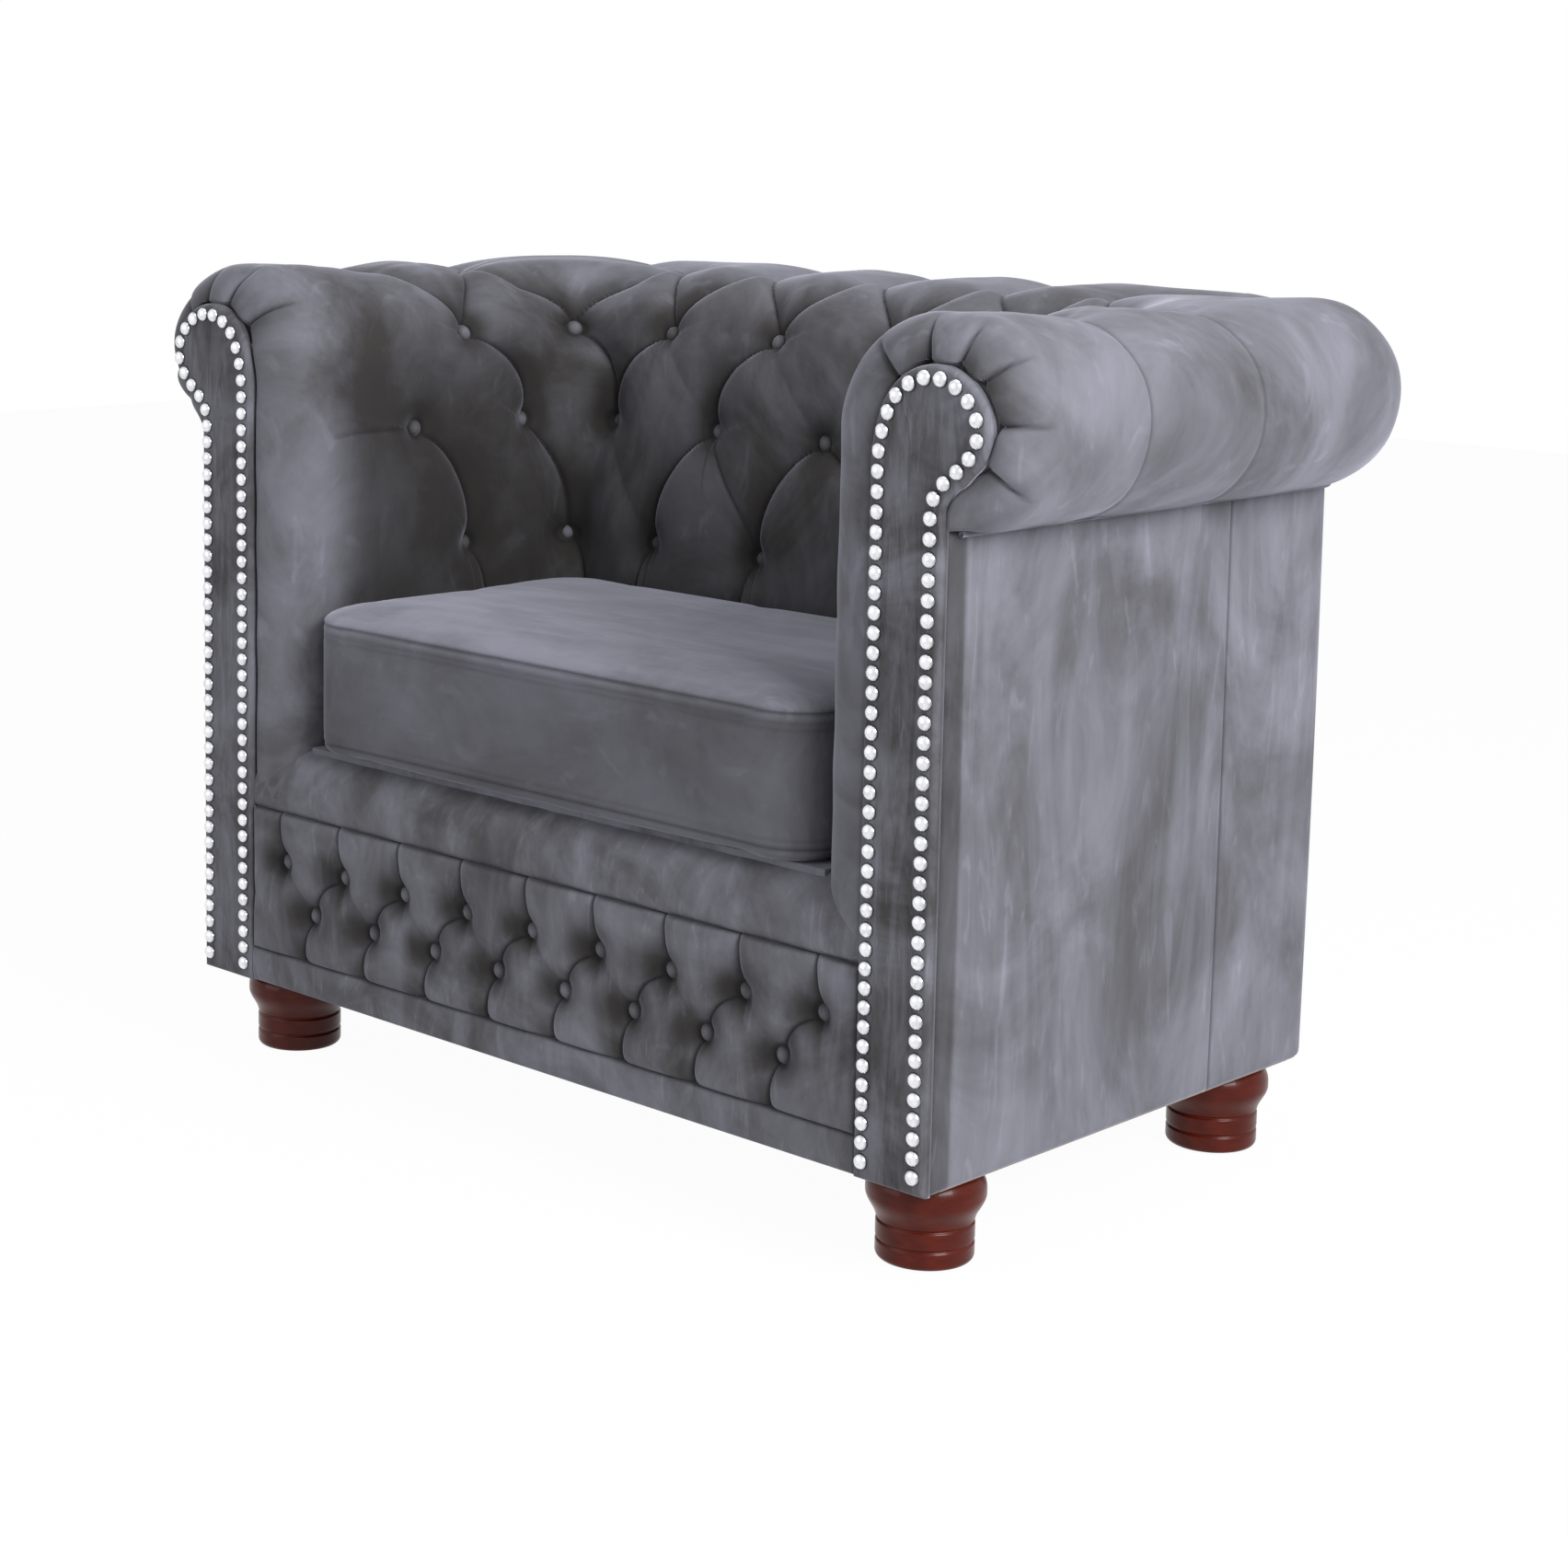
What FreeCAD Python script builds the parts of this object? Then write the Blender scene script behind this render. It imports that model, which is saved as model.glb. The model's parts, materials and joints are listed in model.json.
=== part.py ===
import FreeCAD, Part

import math
import os

from FreeCAD import Vector

# Chesterfield armchair, in millimetres. +Z is up, +X is to the right of someone looking at its front,
# and the front faces -Y. The origin is on the floor under the middle of the chair.

# Overall size
overall_width = 1050.0
overall_depth = 630.0
overall_height = 760.0

# Rolled arms and back
arm_thickness = 205.0
back_thickness = 265.0
roll_radius = 82.0
inner_roll_radius = 92.0
roll_overhang = 75.0
roll_underside_rise = 4.0
corner_bend_radius = 60.0
back_lean = 15.0
lean_start_drop = 280.0
arm_pad_thickness = 64.0
back_pad_thickness = 90.0
pad_over_board = 70.0
pad_end_fillet = 16.0

# Buttoning of the arms and the back
button_diameter = 15.0
button_height = 5.0
button_rim_share = 0.4
button_seat_gap = 0.05
tuft_ball_radius = 34.0
tuft_depth = 13.0
low_row_drop = 272.0
middle_row_drop = 154.0
high_row_drop = 60.0
back_tuft_pitch = 140.0
tuft_side_margin = 35.0
arm_tuft_pitch = 145.0
arm_tuft_from_corner = 38.0
outer_row_shift = 77.0

# Arm-front facings and their nails
nail_head_diameter = 13.5
nail_head_height = 5.0
nail_shank_diameter = 2.0
nail_shank_length = 9.0
nail_hole_clearance = 0.05
nail_hole_extra_depth = 0.4
nail_pitch = 15.5
nail_margin = 10.0
nail_end_margin = 16.0
facing_width = 72.0
facing_thickness = 10.0
pad_behind_facing = 5.0
stump_thickness = 20.0

# Scroll that the nails follow over the top of a facing, as (across, up) from the scroll's centre
scroll_centre_inset = 14.0
scroll_centre_drop = 90.0
scroll_neck_start_drop = 54.0
scroll_neck = ((10.0, -39.0), (23.0, -28.0))
scroll_shoulder = (34.0, -17.0)
scroll_outer_turn = ((46.0, 2.0), (39.0, 27.0))
scroll_top_turn = ((8.0, 45.0), (-37.0, 23.0))
scroll_inner_middle = (-46.0, -3.0)
scroll_inner_end_drop = 32.0

# Outside panels
panel_thickness = 6.0
panel_corner_radius = 25.0
piping_diameter = 5.0

# Front of the base
lower_seam_rise = 34.0
upper_seam_drop = 11.0
base_panel_bulge = 2.0
base_panel_thickness = 15.7
base_strip_setback = 2.0
front_border_edge_radius = 12.0
front_border_depth = 24.0
strip_lift = 2.0
base_upper_row_drop = 48.5
base_lower_row_rise = 44.0
base_tuft_pitch = 84.0
base_button_diameter = 14.0
base_button_height = 4.0
base_tuft_ball_radius = 18.0
base_tuft_depth = 7.0

# Hardwood frame
rail_thickness = 22.0
rail_height = 184.0
board_thickness = 18.0
board_inset = 50.0
tack_rail_height = 40.0
tack_rail_thickness = 22.0
rear_post_depth = 30.0
upright_width = 42.0
brace_width = 44.0
brace_height = 80.0
brace_lift = 42.0
corner_block_size = 75.0
corner_block_height = 32.0
board_screw_diameter = 4.0
board_screw_length = 50.0
board_screw_head_diameter = 8.0
board_screw_spacing = 18.0

# Suspension
webbing_thickness = 2.0
webbing_width = 60.0
arm_web_count = 4
back_web_count = 5
spring_wire_diameter = 3.6
spring_count = 5
spring_spacing = 112.0
spring_loop_width = 44.0
spring_bends = 18
clip_width = 16.0
clip_length = 10.0
clip_wall = 1.5
hessian_thickness = 1.6
deck_pad_thickness = 42.5

# Loose seat cushion
cushion_side_clearance = 0.6
cushion_front_setback = 2.0
cushion_corner_radius = 50.0
cushion_boxing_height = 110.0
cushion_edge_height = 12.0
cushion_edge_roll = 14.0
cushion_crown = 22.0
cushion_crown_inset = 110.0
cushion_crown_steps = 5
cushion_draw_in = 3.0
cushion_cover_thickness = 2.5

# Feet
foot_height = 76.0
foot_side_inset = 27.0
foot_front_inset = 34.0
foot_rear_inset = 42.0
foot_bulge_radius = 47.0
foot_neck_radius = 37.0
foot_ring_radius = 42.0
foot_base_radius = 38.0
foot_collar_radius = 40.0
foot_ring_height = 16.0
foot_neck_height = 5.0
foot_ground_gap = 2.0
glide_radius = 26.0
glide_thickness = 4.0
glide_clearance = 0.3
bolt_diameter = 8.0
bolt_clearance = 0.3
bolt_depth_in_foot = 46.0
tee_nut_barrel_radius = 5.5
tee_nut_barrel_length = 12.0
tee_nut_flange_radius = 11.0
tee_nut_flange_thickness = 1.5
dust_cover_thickness = 2.0
dust_cover_inset = 10.0

# Gap between pieces that lie against each other without being fastened face to face
seat_gap = 0.3
screw_clearance = 0.1
spring_clearance = 0.1

# How far a cutting solid runs past what it cuts
overrun = 1.0
mitre_reach = 40.0

# Levels and planes worked out from the sizes above
half_width = overall_width / 2
half_depth = overall_depth / 2
arm_inner_x = half_width - arm_thickness
arm_pad_back_x = arm_inner_x + arm_pad_thickness
arm_frame_x = arm_pad_back_x + webbing_thickness
roll_centre_x = half_width - roll_radius
roll_centre_z = overall_height - roll_radius
roll_underside_z = overall_height - 2 * roll_radius + roll_underside_rise
inner_roll_centre_z = overall_height - inner_roll_radius
lean_start_z = overall_height - lean_start_drop
panel_outer_x = half_width - roll_overhang
panel_inner_x = panel_outer_x - panel_thickness
side_rail_x = panel_inner_x - rail_thickness

seat_back_y = half_depth - back_thickness
back_pad_back_y = seat_back_y + back_pad_thickness
back_frame_y = back_pad_back_y + webbing_thickness
roll_centre_y = half_depth - roll_radius
back_inner_roll_y = seat_back_y + back_lean + inner_roll_radius
panel_outer_y = half_depth - roll_overhang
panel_inner_y = panel_outer_y - panel_thickness
rear_rail_y = panel_inner_y - rail_thickness

nail_outer_column_x = panel_outer_x - nail_margin
nail_inner_column_x = panel_outer_x - facing_width + nail_margin
stump_grow = nail_margin - panel_thickness - seat_gap
facing_front_y = -half_depth + nail_head_height
facing_back_y = facing_front_y + facing_thickness
stump_back_y = facing_back_y + stump_thickness
pad_front_y = facing_front_y + pad_behind_facing
base_panel_front_y = facing_front_y + base_panel_bulge
base_panel_back_y = base_panel_front_y + base_panel_thickness
base_strip_front_y = base_panel_front_y + base_strip_setback
upright_offset = 1.5 * spring_spacing
front_rail_y = base_panel_back_y + seat_gap
front_rail_back_y = front_rail_y + rail_thickness
border_back_y = base_strip_front_y + front_border_depth
facing_inner_x = panel_outer_x - facing_width
front_panel_half_width = facing_inner_x - seat_gap

frame_bottom_z = foot_height + dust_cover_thickness
strip_bottom_z = frame_bottom_z + strip_lift
rail_top_z = frame_bottom_z + rail_height
lower_seam_z = strip_bottom_z + lower_seam_rise
upper_seam_z = rail_top_z - upper_seam_drop
block_top_z = frame_bottom_z + corner_block_height
spring_z = rail_top_z + clip_wall + spring_wire_diameter / 2
clip_top_z = rail_top_z + 2 * clip_wall + spring_wire_diameter
hessian_z = clip_top_z + seat_gap
deck_pad_z = hessian_z + hessian_thickness
deck_top_z = deck_pad_z + deck_pad_thickness
cushion_bottom_z = deck_top_z + seat_gap
pad_bottom_z = deck_pad_z + seat_gap
tack_rail_z = pad_bottom_z + seat_gap
board_top_z = overall_height - pad_over_board
board_bottom_z = board_top_z - board_thickness
panel_top_z = roll_underside_z - seat_gap
scroll_centre_x = panel_outer_x - scroll_centre_inset
scroll_centre_z = overall_height - scroll_centre_drop

foot_x = side_rail_x - foot_side_inset
foot_front_y = front_rail_back_y + foot_front_inset
foot_rear_y = rear_rail_y - foot_rear_inset

os.makedirs("parts", exist_ok=True)


def on_xz(u, v):
    """Place a flat point in the plane seen from the front."""
    return Vector(u, 0, v)


def on_yz(u, v):
    """Place a flat point in the plane seen from the side."""
    return Vector(0, u, v)


def on_xy(u, v):
    """Place a flat point in the plane seen from above."""
    return Vector(u, v, 0)


def outline(plane, start, *steps):
    """Join a start point and steps into a closed face; a step is a point or an arc's (middle, end)."""
    edges = []
    here = start
    for step in steps:
        if isinstance(step[0], tuple):
            middle, end = step
            edges.append(Part.Arc(plane(*here), plane(*middle), plane(*end)).toShape())
            here = end
        else:
            edges.append(Part.LineSegment(plane(*here), plane(*step)).toShape())
            here = step
    edges.append(Part.LineSegment(plane(*here), plane(*start)).toShape())
    return Part.Face(Part.Wire(edges))


def on_circle(centre, radius, degrees):
    """Give the point at an angle on a circle in a flat plane."""
    angle = math.radians(degrees)
    return (centre[0] + radius * math.cos(angle), centre[1] + radius * math.sin(angle))


def block(x, y, z):
    """Make a box from its x, y and z ranges."""
    size = (x[1] - x[0], y[1] - y[0], z[1] - z[0])
    return Part.makeBox(*size, Vector(x[0], y[0], z[0]))


def extrude(face, direction, start, end):
    """Sweep a face straight along a unit direction, between two places on that axis."""
    face = face.translated(direction * start)
    return face.extrude(direction * (end - start))


def mirrored(shape):
    """Mirror a right-hand piece to the left."""
    return shape.mirror(Vector(0, 0, 0), Vector(1, 0, 0))


def turned(plane_points, at):
    """Turn a half section, given as (radius, height) steps, about the upright axis through a point."""
    face = outline(on_xz, *plane_points)
    solid = face.revolve(Vector(0, 0, 0), Vector(0, 0, 1), 360)
    return solid.translated(at)


def dome(radius, base, top):
    """Give the arc step of a round cap, from its rim at a radius up to the top of the axis."""
    rise = top - base
    ball = (radius ** 2 + rise ** 2) / (2 * rise)
    half_angle = math.asin(radius / ball) / 2
    middle = (ball * math.sin(half_angle), top - ball + ball * math.cos(half_angle))
    return (middle, (0, top))


def aimed(shape, direction, at):
    """Turn a shape that points up until it points along a direction, and move it to a point."""
    turn = FreeCAD.Rotation(Vector(0, 0, 1), direction)
    placed = shape.copy()
    placed.Placement = FreeCAD.Placement(at, turn).multiply(placed.Placement)
    return placed


def group(shapes):
    """Keep several separate solids together in one node."""
    return Part.makeCompound(shapes)


def save(name, shape):
    """Write one sub-part."""
    shape.exportStep("parts/" + name + ".step")


# Rolled outline of an arm, seen from the front, and of the back, seen from the side


def outer_roll_arc(centre):
    """Give the arc step round the outside of a roll, from its top to its flat underside."""
    circle = (centre, roll_centre_z)
    end = -math.degrees(math.asin((roll_centre_z - roll_underside_z) / roll_radius))
    return (on_circle(circle, roll_radius, (90 + end) / 2), on_circle(circle, roll_radius, end))


def roll_steps(inner, inner_centre, outer_centre, panel_inner, board_end, pad_back):
    """Give the steps from the inner face over the roll, round the top board and down the frame side."""
    inner_circle = (inner_centre, inner_roll_centre_z)
    return (
        (inner, inner_roll_centre_z),
        (on_circle(inner_circle, inner_roll_radius, 135), (inner_centre, overall_height)),
        (outer_centre, overall_height),
        outer_roll_arc(outer_centre),
        (panel_inner, roll_underside_z),
        (panel_inner, board_bottom_z),
        (board_end, board_bottom_z),
        (board_end, board_top_z),
        (pad_back, board_top_z),
        (pad_back, pad_bottom_z),
    )


def arm_section():
    """Make the padded section of the right arm."""
    steps = roll_steps(arm_inner_x, arm_inner_x + inner_roll_radius, roll_centre_x,
                       panel_inner_x, half_width - board_inset, arm_pad_back_x)
    return outline(on_xz, (arm_inner_x, pad_bottom_z), *steps)


def back_section():
    """Make the padded section of the back, which leans a little above the seat."""
    steps = roll_steps(seat_back_y + back_lean, back_inner_roll_y, roll_centre_y,
                       panel_inner_y, half_depth - board_inset, back_pad_back_y)
    lower = (seat_back_y, lean_start_z)
    return outline(on_yz, (seat_back_y, pad_bottom_z), lower, *steps)


# Buttons and the wells that they are drawn into


def roll_surface(inner, inner_centre, height):
    """Give where a padded face is at a height, and how far its outward normal tips up."""
    rise = max(0.0, height - inner_roll_centre_z)
    tip = math.asin(rise / inner_roll_radius)
    if rise == 0:
        return inner, 0.0
    return inner_centre - inner_roll_radius * math.cos(tip), tip


def back_face_y(height):
    """Give where the leaning back face is at a height below its roll."""
    above = max(0.0, height - lean_start_z)
    share = min(1.0, above / (inner_roll_centre_z - lean_start_z))
    return seat_back_y + back_lean * share


def tuft_rows():
    """Give the heights of the low, middle and high rows of buttons."""
    return [overall_height - drop for drop in (low_row_drop, middle_row_drop, high_row_drop)]


def arm_tufts():
    """List (surface point, outward normal) for the buttons on the right arm."""
    low, middle, high = tuft_rows()
    first = seat_back_y - arm_tuft_from_corner
    places = [(first, middle), (first - arm_tuft_pitch, middle)]
    places += [(first - outer_row_shift, low), (first - outer_row_shift, high)]
    tufts = []
    for y, z in places:
        x, tip = roll_surface(arm_inner_x, arm_inner_x + inner_roll_radius, z)
        tufts.append((Vector(x, y, z), Vector(-math.cos(tip), 0, math.sin(tip))))
    return tufts


def corner_tufts():
    """List the buttons in the inner corner beside the right arm."""
    low, _, high = tuft_rows()
    tufts = []
    for z in (low, high):
        x, tip = roll_surface(arm_inner_x, arm_inner_x + inner_roll_radius, z)
        y = roll_surface(back_face_y(z), back_inner_roll_y, z)[0]
        level = math.cos(tip) / math.sqrt(2)
        tufts.append((Vector(x, y, z), Vector(-level, -level, math.sin(tip))))
    return tufts


def staggered_rows(half_span, pitch):
    """Give the places across of a long row of buttons and of the shorter row set between them."""
    steps = int((half_span - tuft_side_margin) / pitch)
    long_row = [number * pitch for number in range(-steps, steps + 1)]
    short_row = [x + pitch / 2 for x in long_row[:-1]]
    return long_row, short_row


def back_tufts():
    """List the buttons across the back."""
    low, middle, high = tuft_rows()
    long_row, short_row = staggered_rows(arm_inner_x, back_tuft_pitch)
    places = [(x, middle) for x in long_row]
    places += [(x, z) for z in (low, high) for x in short_row]
    tufts = []
    for x, z in places:
        y, tip = roll_surface(back_face_y(z), back_inner_roll_y, z)
        tufts.append((Vector(x, y, z), Vector(0, -math.cos(tip), math.sin(tip))))
    return tufts


def base_tufts():
    """List the buttons across the panel under the seat."""
    long_row, short_row = staggered_rows(front_panel_half_width, base_tuft_pitch)
    places = [(x, upper_seam_z - base_upper_row_drop) for x in long_row]
    places += [(x, lower_seam_z + base_lower_row_rise) for x in short_row]
    return [(Vector(x, base_panel_front_y, z), Vector(0, -1, 0)) for x, z in places]


def tuft_well(tuft, ball_radius, depth):
    """Make the ball that hollows a padded face round one button."""
    point, normal = tuft
    return Part.makeSphere(ball_radius, point + normal * (ball_radius - depth))


def inner_well(tuft):
    """Make the well of one button of the arms or the back."""
    return tuft_well(tuft, tuft_ball_radius, tuft_depth)


def button(tuft, ball_radius, depth, diameter, height):
    """Make one covered button, a dome on a short rim, seated at the bottom of its well."""
    point, normal = tuft
    rim = height * button_rim_share
    radius = diameter / 2
    solid = turned(((0, 0), (radius, 0), (radius, rim), dome(radius, rim, height)), Vector(0, 0, 0))
    lift = ball_radius - math.sqrt(ball_radius ** 2 - radius ** 2) + button_seat_gap
    return aimed(solid, normal, point - normal * (depth - lift))


# Facing outline: two straight nail columns joined by a scroll


def scroll_point(offset):
    """Place a point of the scroll from the scroll's centre."""
    return (scroll_centre_x + offset[0], scroll_centre_z + offset[1])


def scroll_arc(offsets):
    """Place an arc step of the scroll, its middle and its end."""
    return tuple(scroll_point(offset) for offset in offsets)


def nail_line():
    """Make the closed outline that the nails follow, with its straight bottom edge last."""
    return outline(
        on_xz,
        (nail_outer_column_x, strip_bottom_z + nail_margin),
        (nail_outer_column_x, scroll_centre_z - scroll_neck_start_drop),
        scroll_arc(scroll_neck),
        scroll_point(scroll_shoulder),
        scroll_arc(scroll_outer_turn),
        scroll_arc(scroll_top_turn),
        (scroll_point(scroll_inner_middle),
         (nail_inner_column_x, scroll_centre_z - scroll_inner_end_drop)),
        (nail_inner_column_x, strip_bottom_z + nail_margin),
    )


def keyhole(grow):
    """Make the facing's outline, grown from the nail line."""
    wire = nail_line().OuterWire.makeOffset2D(grow, 2)
    return Part.Face(wire)


def nail_places():
    """List where the nail heads sit along the nail line."""
    edges = nail_line().OuterWire.OrderedEdges[:-1]
    path = Part.Wire(edges)
    start = nail_end_margin - nail_margin
    count = int((path.Length - 2 * start) / nail_pitch) + 1
    step = (path.Length - 2 * start) / (count - 1)
    places = []
    for number in range(count):
        places.append(point_along(edges, start + number * step))
    return places


def point_along(edges, distance):
    """Give the point at a distance along a run of edges, walked from the first edge's free end."""
    here = Vector(nail_outer_column_x, 0, strip_bottom_z + nail_margin)
    for edge in edges:
        first = edge.valueAt(edge.FirstParameter)
        forward = first.distanceToPoint(here) < 1e-3
        if distance <= edge.Length:
            along = distance if forward else edge.Length - distance
            return edge.valueAt(edge.getParameterByLength(along))
        distance -= edge.Length
        here = edge.valueAt(edge.LastParameter) if forward else first
    return here


def nail(place):
    """Make one dome-headed nail with its shank, its dome towards the front."""
    head = nail_head_diameter / 2
    shank = nail_shank_diameter / 2
    section = ((0, -nail_shank_length), (shank, -nail_shank_length), (shank, 0), (head, 0),
               dome(head, 0, nail_head_height))
    solid = turned(section, Vector(0, 0, 0))
    return aimed(solid, Vector(0, -1, 0), Vector(place.x, facing_front_y, place.z))


def facing(places):
    """Make the covered board on the front of the right arm, drilled for the nail shanks."""
    board = extrude(keyhole(nail_margin), Vector(0, 1, 0), facing_front_y, facing_back_y)
    radius = nail_shank_diameter / 2 + nail_hole_clearance
    depth = nail_shank_length + nail_hole_extra_depth
    holes = [Part.makeCylinder(radius, depth, Vector(place.x, facing_front_y, place.z), Vector(0, 1, 0))
             for place in places]
    return board.cut(group(holes))


def stump():
    """Make the right arm's front board, a keyhole under the facing."""
    board = extrude(keyhole(stump_grow), Vector(0, 1, 0), facing_back_y, stump_back_y)
    return board.cut(screw_holes())


# Padded pieces


def mitre_wedge():
    """Make the space that the front border takes out of the foot of the right arm pad."""
    top = deck_top_z + seat_gap
    inside = arm_inner_x - mitre_reach
    outside = facing_inner_x + mitre_reach
    below = upper_seam_z - mitre_reach
    face = outline(on_xz, (inside, top), (arm_inner_x, top), (facing_inner_x + seat_gap, upper_seam_z),
                   (outside, upper_seam_z), (outside, below), (inside, below))
    return extrude(face, Vector(0, 1, 0), facing_front_y - overrun, border_back_y + seat_gap)


def arm_pad():
    """Make the right arm's padding from the facing to the corner, with its wells."""
    pad = extrude(arm_section(), Vector(0, 1, 0), pad_front_y, seat_back_y)
    rounded = [edge for edge in pad.Edges if is_front_outer_edge(edge)]
    pad = pad.makeFillet(pad_end_fillet, rounded)
    pad = pad.fuse(block((arm_inner_x, facing_inner_x), (pad_front_y, base_panel_back_y),
                         (upper_seam_z + seat_gap, pad_bottom_z)))
    pad = pad.cut(extrude(keyhole(nail_margin), Vector(0, 1, 0), pad_front_y - overrun, facing_back_y))
    pad = pad.cut(extrude(keyhole(stump_grow), Vector(0, 1, 0), facing_back_y - overrun, stump_back_y))
    pad = pad.cut(mitre_wedge())
    return pad.cut(group([inner_well(tuft) for tuft in arm_tufts() + corner_tufts()]))


def is_front_outer_edge(edge):
    """Tell whether an edge lies on the front end of the arm and on its upholstered outside."""
    box = edge.BoundBox
    if box.YMax > pad_front_y + seat_gap:
        return False
    inner_face = box.XMax < arm_inner_x + seat_gap
    return inner_face or box.ZMax > board_top_z + seat_gap


def corner_pad():
    """Make the padded corner where the right arm's roll turns into the back's roll."""
    bend_x = roll_centre_x - corner_bend_radius
    bend_y = roll_centre_y - corner_bend_radius
    along_arm = extrude(arm_section(), Vector(0, 1, 0), seat_back_y, bend_y)
    inner_top_x = arm_inner_x + inner_roll_radius
    along_back = extrude(back_section(), Vector(1, 0, 0), arm_inner_x, inner_top_x)
    along_back = along_back.cut(block((bend_x, half_width), (bend_y, half_depth), (0, overall_height)))
    bend_face = outline(on_xz, (0, roll_underside_z), (0, overall_height),
                        (corner_bend_radius, overall_height), outer_roll_arc(corner_bend_radius))
    bend = bend_face.revolve(Vector(0, 0, 0), Vector(0, 0, 1), 90).translated(Vector(bend_x, bend_y, 0))
    pad = along_arm.fuse([along_back, bend])
    starts = ((arm_inner_x - overrun, back_pad_back_y), (arm_pad_back_x, seat_back_y - overrun))
    for x, y in starts:
        pad = pad.cut(block((x, panel_inner_x), (y, panel_inner_y), (pad_bottom_z - overrun, board_bottom_z)))
        pad = pad.cut(block((x, half_width - board_inset), (y, half_depth - board_inset),
                            (board_bottom_z, board_top_z)))
    tufts = corner_tufts() + arm_tufts() + back_tufts()
    return pad.cut(group([inner_well(tuft) for tuft in tufts])).removeSplitter()


def back_pad():
    """Make the padding of the back between the two corners, with its wells."""
    pad = extrude(back_section(), Vector(1, 0, 0), -arm_inner_x, arm_inner_x)
    corners = [inner_well(tuft) for tuft in corner_tufts()]
    wells = [inner_well(tuft) for tuft in back_tufts()] + corners + [mirrored(well) for well in corners]
    return pad.cut(group(wells))


def inner_button(tuft):
    """Make one covered button of the arms or the back."""
    return button(tuft, tuft_ball_radius, tuft_depth, button_diameter, button_height)


def base_button(tuft):
    """Make one covered button of the base panel."""
    return button(tuft, base_tuft_ball_radius, base_tuft_depth, base_button_diameter, base_button_height)


# Front of the base


def base_panel():
    """Make the buttoned panel under the seat, with its wells."""
    pad = block((-front_panel_half_width, front_panel_half_width), (base_panel_front_y, base_panel_back_y),
                (lower_seam_z + seat_gap, upper_seam_z - seat_gap))
    wells = [tuft_well(tuft, base_tuft_ball_radius, base_tuft_depth) for tuft in base_tufts()]
    return pad.cut(group(wells))


def base_strip():
    """Make the plain strip along the foot of the base."""
    return block((-front_panel_half_width, front_panel_half_width), (base_strip_front_y, base_panel_back_y),
                 (strip_bottom_z, lower_seam_z))


def front_border():
    """Make the plain border under the cushion, mitred into the arms at both ends."""
    front = base_strip_front_y
    top = deck_top_z
    radius = front_border_edge_radius
    corner = (front + radius, top - radius)
    face = outline(on_yz, (front, upper_seam_z + seat_gap), (front, top - radius),
                   (on_circle(corner, radius, 135), (front + radius, top)),
                   (border_back_y, top), (border_back_y, rail_top_z + seat_gap),
                   (base_panel_back_y, rail_top_z + seat_gap), (base_panel_back_y, upper_seam_z + seat_gap))
    border = extrude(face, Vector(1, 0, 0), -front_panel_half_width, front_panel_half_width)
    keep = outline(on_xz, (-front_panel_half_width, upper_seam_z), (front_panel_half_width, upper_seam_z),
                   (arm_inner_x - seat_gap, top + seat_gap), (-arm_inner_x + seat_gap, top + seat_gap))
    return border.common(extrude(keep, Vector(0, 1, 0), front - overrun, border_back_y + overrun))


# Outside panels


def outer_arm_panel():
    """Make the right outside panel, which turns the rear corner with a round bend."""
    corner = (panel_outer_x - panel_corner_radius, panel_outer_y - panel_corner_radius)
    inner_radius = panel_corner_radius - panel_thickness
    start_y = facing_back_y + seat_gap
    face = outline(on_xy, (panel_inner_x, start_y), (panel_outer_x, start_y), (panel_outer_x, corner[1]),
                   (on_circle(corner, panel_corner_radius, 45), (corner[0], panel_outer_y)),
                   (corner[0], panel_inner_y),
                   (on_circle(corner, inner_radius, 45), (panel_inner_x, corner[1])))
    return extrude(face, Vector(0, 0, 1), strip_bottom_z, panel_top_z)


def outer_back_panel():
    """Make the outside back panel between the two rounded corners."""
    reach = panel_outer_x - panel_corner_radius - seat_gap
    return block((-reach, reach), (panel_inner_y, panel_outer_y), (strip_bottom_z, panel_top_z))


def under_roll_piping():
    """Make the piping that follows the top of the outside panels round the sides and the back."""
    radius = piping_diameter / 2
    offset = radius + seat_gap
    x = panel_outer_x + offset
    y = panel_outer_y + offset
    bend = panel_corner_radius + offset
    corner = (x - bend, y - bend)
    z = panel_top_z - radius
    start_y = pad_front_y + pad_end_fillet
    left = (-corner[0], corner[1])
    right_middle = Vector(*on_circle(corner, bend, 45), z)
    left_middle = Vector(*on_circle(left, bend, 135), z)
    right_bend = Part.Arc(Vector(x, corner[1], z), right_middle, Vector(corner[0], y, z))
    left_bend = Part.Arc(Vector(left[0], y, z), left_middle, Vector(-x, corner[1], z))
    path = Part.Wire([
        Part.LineSegment(Vector(x, start_y, z), Vector(x, corner[1], z)).toShape(),
        right_bend.toShape(),
        Part.LineSegment(Vector(corner[0], y, z), Vector(-corner[0], y, z)).toShape(),
        left_bend.toShape(),
        Part.LineSegment(Vector(-x, corner[1], z), Vector(-x, start_y, z)).toShape(),
    ])
    section = Part.Wire(Part.makeCircle(radius, Vector(x, start_y, z), Vector(0, 1, 0)))
    return path.makePipeShell([section], True, False)


# Hardwood frame


def screw_places():
    """List the screws through the right arm's top board and the right half of the back's board."""
    stump_y = (facing_back_y + stump_back_y) / 2
    post_y = rear_rail_y - rear_post_depth / 2
    upright_y = rear_rail_y + rail_thickness / 2
    post_x = (arm_frame_x + side_rail_x) / 2
    half = board_screw_spacing / 2
    arm = [Vector(post_x + side * half, y, board_top_z) for y in (stump_y, post_y) for side in (-1, 1)]
    back = [Vector(upright_offset + side * half, upright_y, board_top_z) for side in (-1, 1)]
    return arm + back


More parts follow.
